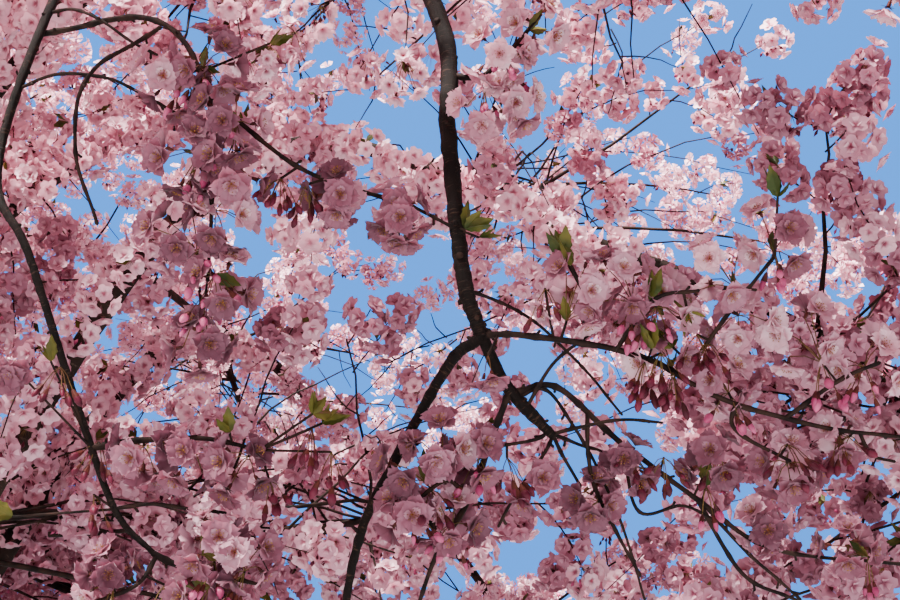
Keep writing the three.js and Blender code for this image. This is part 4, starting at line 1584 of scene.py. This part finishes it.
# A young leaf is thin and slightly waxed, green with a bronze flush over 30 mm
leaf_skin = plant_skin("young_leaf", "#2F3A16", "#5E5824", 0.5, 0.003, 0.03)


def put_in_scene(name, data):
    made = bpy.data.objects.new(name, data)
    bpy.context.scene.collection.objects.link(made)
    return made


# Joined pieces
def make_mesh(name, points, triangles, material, smooth, shares=None):
    mesh = bpy.data.meshes.new(name)
    mesh.vertices.add(len(points))
    mesh.vertices.foreach_set("co", points.astype(np.float32).ravel())
    mesh.loops.add(3 * len(triangles))
    mesh.loops.foreach_set("vertex_index", triangles.astype(np.int32).ravel())
    mesh.polygons.add(len(triangles))
    mesh.polygons.foreach_set("loop_start", np.arange(0, 3 * len(triangles), 3, dtype=np.int32))
    mesh.polygons.foreach_set("use_smooth", np.full(len(triangles), smooth))
    mesh.update(calc_edges=True)
    if shares is not None:
        given = mesh.attributes.new("petal_share", "FLOAT", "POINT")
        given.data.foreach_set("value", shares.astype(np.float32))
    mesh.materials.append(material)
    made = put_in_scene(name, mesh)
    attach(made, "root")
    return made


mass_nodes = sorted(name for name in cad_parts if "blossom" in name)


def make_pieces(name, meshes, material, slot, smooth):
    """Joined pieces of one kind, each under the most triangles that a piece may have."""
    batches = [[]]
    size = 0
    for mesh in meshes:
        count = len(mesh[1])
        if size + count > MOST_TRIANGLES:
            batches.append([])
            size = 0
        batches[-1].append(mesh)
        size += count
    for i, batch in enumerate(batches):
        piece_name = name if len(batches) == 1 else f"{name}_{i + 1}"
        points, triangles = join_shapes([mesh[:2] for mesh in batch])
        shares = np.concatenate([mesh[2] for mesh in batch])
        made = make_mesh(piece_name, points, triangles, material, smooth, shares)
        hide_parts(*mass_nodes)


# The material, the slot and the smoothness of each kind of piece
KINDS = {
    "twigs": (twig_bark, "young_bark", True),
    "near_twigs": (twig_bark, "young_bark", True),
    "stalks": (stalk_skin, "young_bark", True),
    "cups": (cup_skin, "blossom", False),
    "hearts": (heart_skin, "blossom", False),
    "stamens": (stamen_skin, "blossom", False),
    "buds_pink": (pink_bud, "blossom", True),
    "buds_dark": (dark_bud, "blossom", True),
    "leaves": (leaf_skin, "blossom", False),
}
for detail in ("near", "mid", "far", "outer"):
    for tint in TINTS:
        KINDS[f"{detail}_petals_{tint}"] = (petal_skins[tint], "blossom", detail != "outer")
for kind, gathered in heaps.items():
    make_pieces(kind, gathered.meshes, *KINDS[kind])


# The trunk and boughs have their bark's relief in their shape. How high each kind of it stands is a
# share of the relief's height: broad swellings, rings round the limb, and the rough skin between them.
# A collar fades over a twentieth of the limb.
SWELLINGS = 1.4
RINGS = 0.7
ROUGH_SKIN = 0.5
COLLAR_FADE = 0.05


def bark_points(line, sides, steps, relief, lobes, collar):
    """A limb's rings of points, and where each would be if the limb stood straight. Swellings, rings
    and rough skin are raised in the surface."""
    length = line.length()
    normal = ANY_NORMAL
    points = []
    places = []
    for i in range(steps + 1):
        share = i / steps
        tangent = line.tangent(share)
        normal = unit(normal - tangent * (normal @ tangent))
        side = np.cross(tangent, normal)
        along = share * length
        for k in range(sides):
            turn = 2 * math.pi * k / sides
            flare = lobes * max(0, 1 - 4 * share) * math.cos(FLARE_LOBES * turn)
            radius = line.radius(share) * (1 + flare + collar * math.exp(-share / COLLAR_FADE))
            straight = Vector((radius * math.cos(turn), radius * math.sin(turn), along))
            swell = noise.noise(straight * (0.35 / radius))
            ring = noise.noise(Vector((straight.x * 0.2, straight.y * 0.2, along)) / (6 * relief))
            rough = noise.noise(straight / (2.5 * relief))
            radius += relief * (SWELLINGS * swell + RINGS * ring + ROUGH_SKIN * rough)
            points.append(line.at(share) + radius * (math.cos(turn) * normal - math.sin(turn) * side))
            places.append(straight)
    return [*points, line.at(0), line.at(1)], [*places, Vector((0, 0, 0)), Vector((0, 0, length))]


def bark_limb(name, line, material, slot, sides, gap, relief, lobes=0.0, collar=0.0):
    """A limb's bark from its foot to its tip, closed at both ends."""
    steps = math.ceil(line.length() / gap)
    points, places = bark_points(line, sides, steps, relief, lobes, collar)
    triangles = [(a, c, b) for a, b, c in ring_triangles(steps + 1, sides)]
    last = steps * sides
    foot = last + sides
    for k in range(sides):
        beside = (k + 1) % sides
        triangles.append((k, beside, foot))
        triangles.append((last + beside, last + k, foot + 1))
    made = make_mesh(f"{name}_bark", np.array(points), np.array(triangles), material, True)
    straightened = made.data.attributes.new("limb_place", "FLOAT_VECTOR", "POINT")
    straightened.data.foreach_set("vector", np.array(places, np.float32).ravel())
    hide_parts(name)


# Each kind of limb: the points round it, the gap between its rings of points, how high its relief
# stands, and how much its foot spreads
TRUNK_MESH = {"sides": 90, "gap": 0.014, "relief": 0.004, "lobes": FLARE_LOBE_DEPTH}
BOUGH_MESH = {"sides": 14, "gap": 0.035, "relief": 0.0015, "collar": 0.3}
HANGING_MESH = {"sides": 20, "gap": 0.005, "relief": 0.001}
TRAILING_MESH = {"sides": 20, "gap": 0.005, "relief": 0.0004}
for name, line in limbs.items():
    if name == "trunk":
        bark_limb(name, line, old_bark, "bark", **TRUNK_MESH)
    elif name == "trailing_limb":
        bark_limb(name, line, shaded_limb_bark, "young_bark", **TRAILING_MESH)
    elif name.startswith("hanging_limb"):
        bark_limb(name, line, shaded_limb_bark, "young_bark", **HANGING_MESH)
    else:
        bark_limb(name, line, old_bark, "bark", **BOUGH_MESH)


# The floor, the light and the view
FLOOR_RADIUS = 30
FLOOR_SIDES = 64
SUN_STRENGTH = 48.0
SUN_TURN = (math.radians(30), math.radians(-22), 0)
SUN_WIDTH = math.radians(7)
SKY_SHOWN = 1.75
SKY_LIGHT = 0.3


def add_floor():
    mesh = bpy.data.meshes.new("floor")
    mesh.from_pydata(round_points(FLOOR_SIDES, FLOOR_RADIUS, 0), [], [list(range(FLOOR_SIDES))])
    # A matt painted floor, even but for pale patches of 1.5 m
    mesh.materials.append(plant_skin("pale_floor", "#77797C", "#7E8083", 0.8, 0.05, 1.5))
    put_in_scene("floor", mesh)


def add_sun():
    """A soft sun over the view's left shoulder."""
    sun = bpy.data.lights.new("soft_sun", "SUN")
    sun.energy = SUN_STRENGTH
    sun.angle = SUN_WIDTH
    sun.color = (1.0, 0.96, 0.9)
    put_in_scene("soft_sun", sun).rotation_euler = SUN_TURN


def add_sky():
    """An even sky that lights less than it shows, so that the crown keeps its deep shade."""
    world = bpy.data.worlds.new("pale_sky")
    world.use_nodes = True
    world.node_tree.nodes.clear()
    blue = {"Color": from_hex("#4092F8"), "Strength": SKY_SHOWN}
    haze = {"Color": from_hex("#9DB6E0"), "Strength": SKY_LIGHT}
    shown = add_node(world, "ShaderNodeBackground", blue).outputs["Background"]
    lighting = add_node(world, "ShaderNodeBackground", haze).outputs["Background"]
    direct = add_node(world, "ShaderNodeLightPath", {}).outputs["Is Camera Ray"]
    both = add_node(world, "ShaderNodeMixShader", {}, [(0, direct), (1, lighting), (2, shown)])
    add_node(world, "ShaderNodeOutputWorld", {}, [("Surface", both.outputs["Shader"])])
    bpy.context.scene.world = world


def add_camera():
    lens = bpy.data.cameras.new("eye")
    lens.lens = LENS
    lens.sensor_width = SENSOR_WIDTH
    camera = put_in_scene("eye", lens)
    camera.location = EYE
    camera.rotation_euler = (math.pi / 2 + LOOK_UP, 0, 0)
    bpy.context.scene.camera = camera


add_floor()
add_sun()
add_sky()
add_camera()
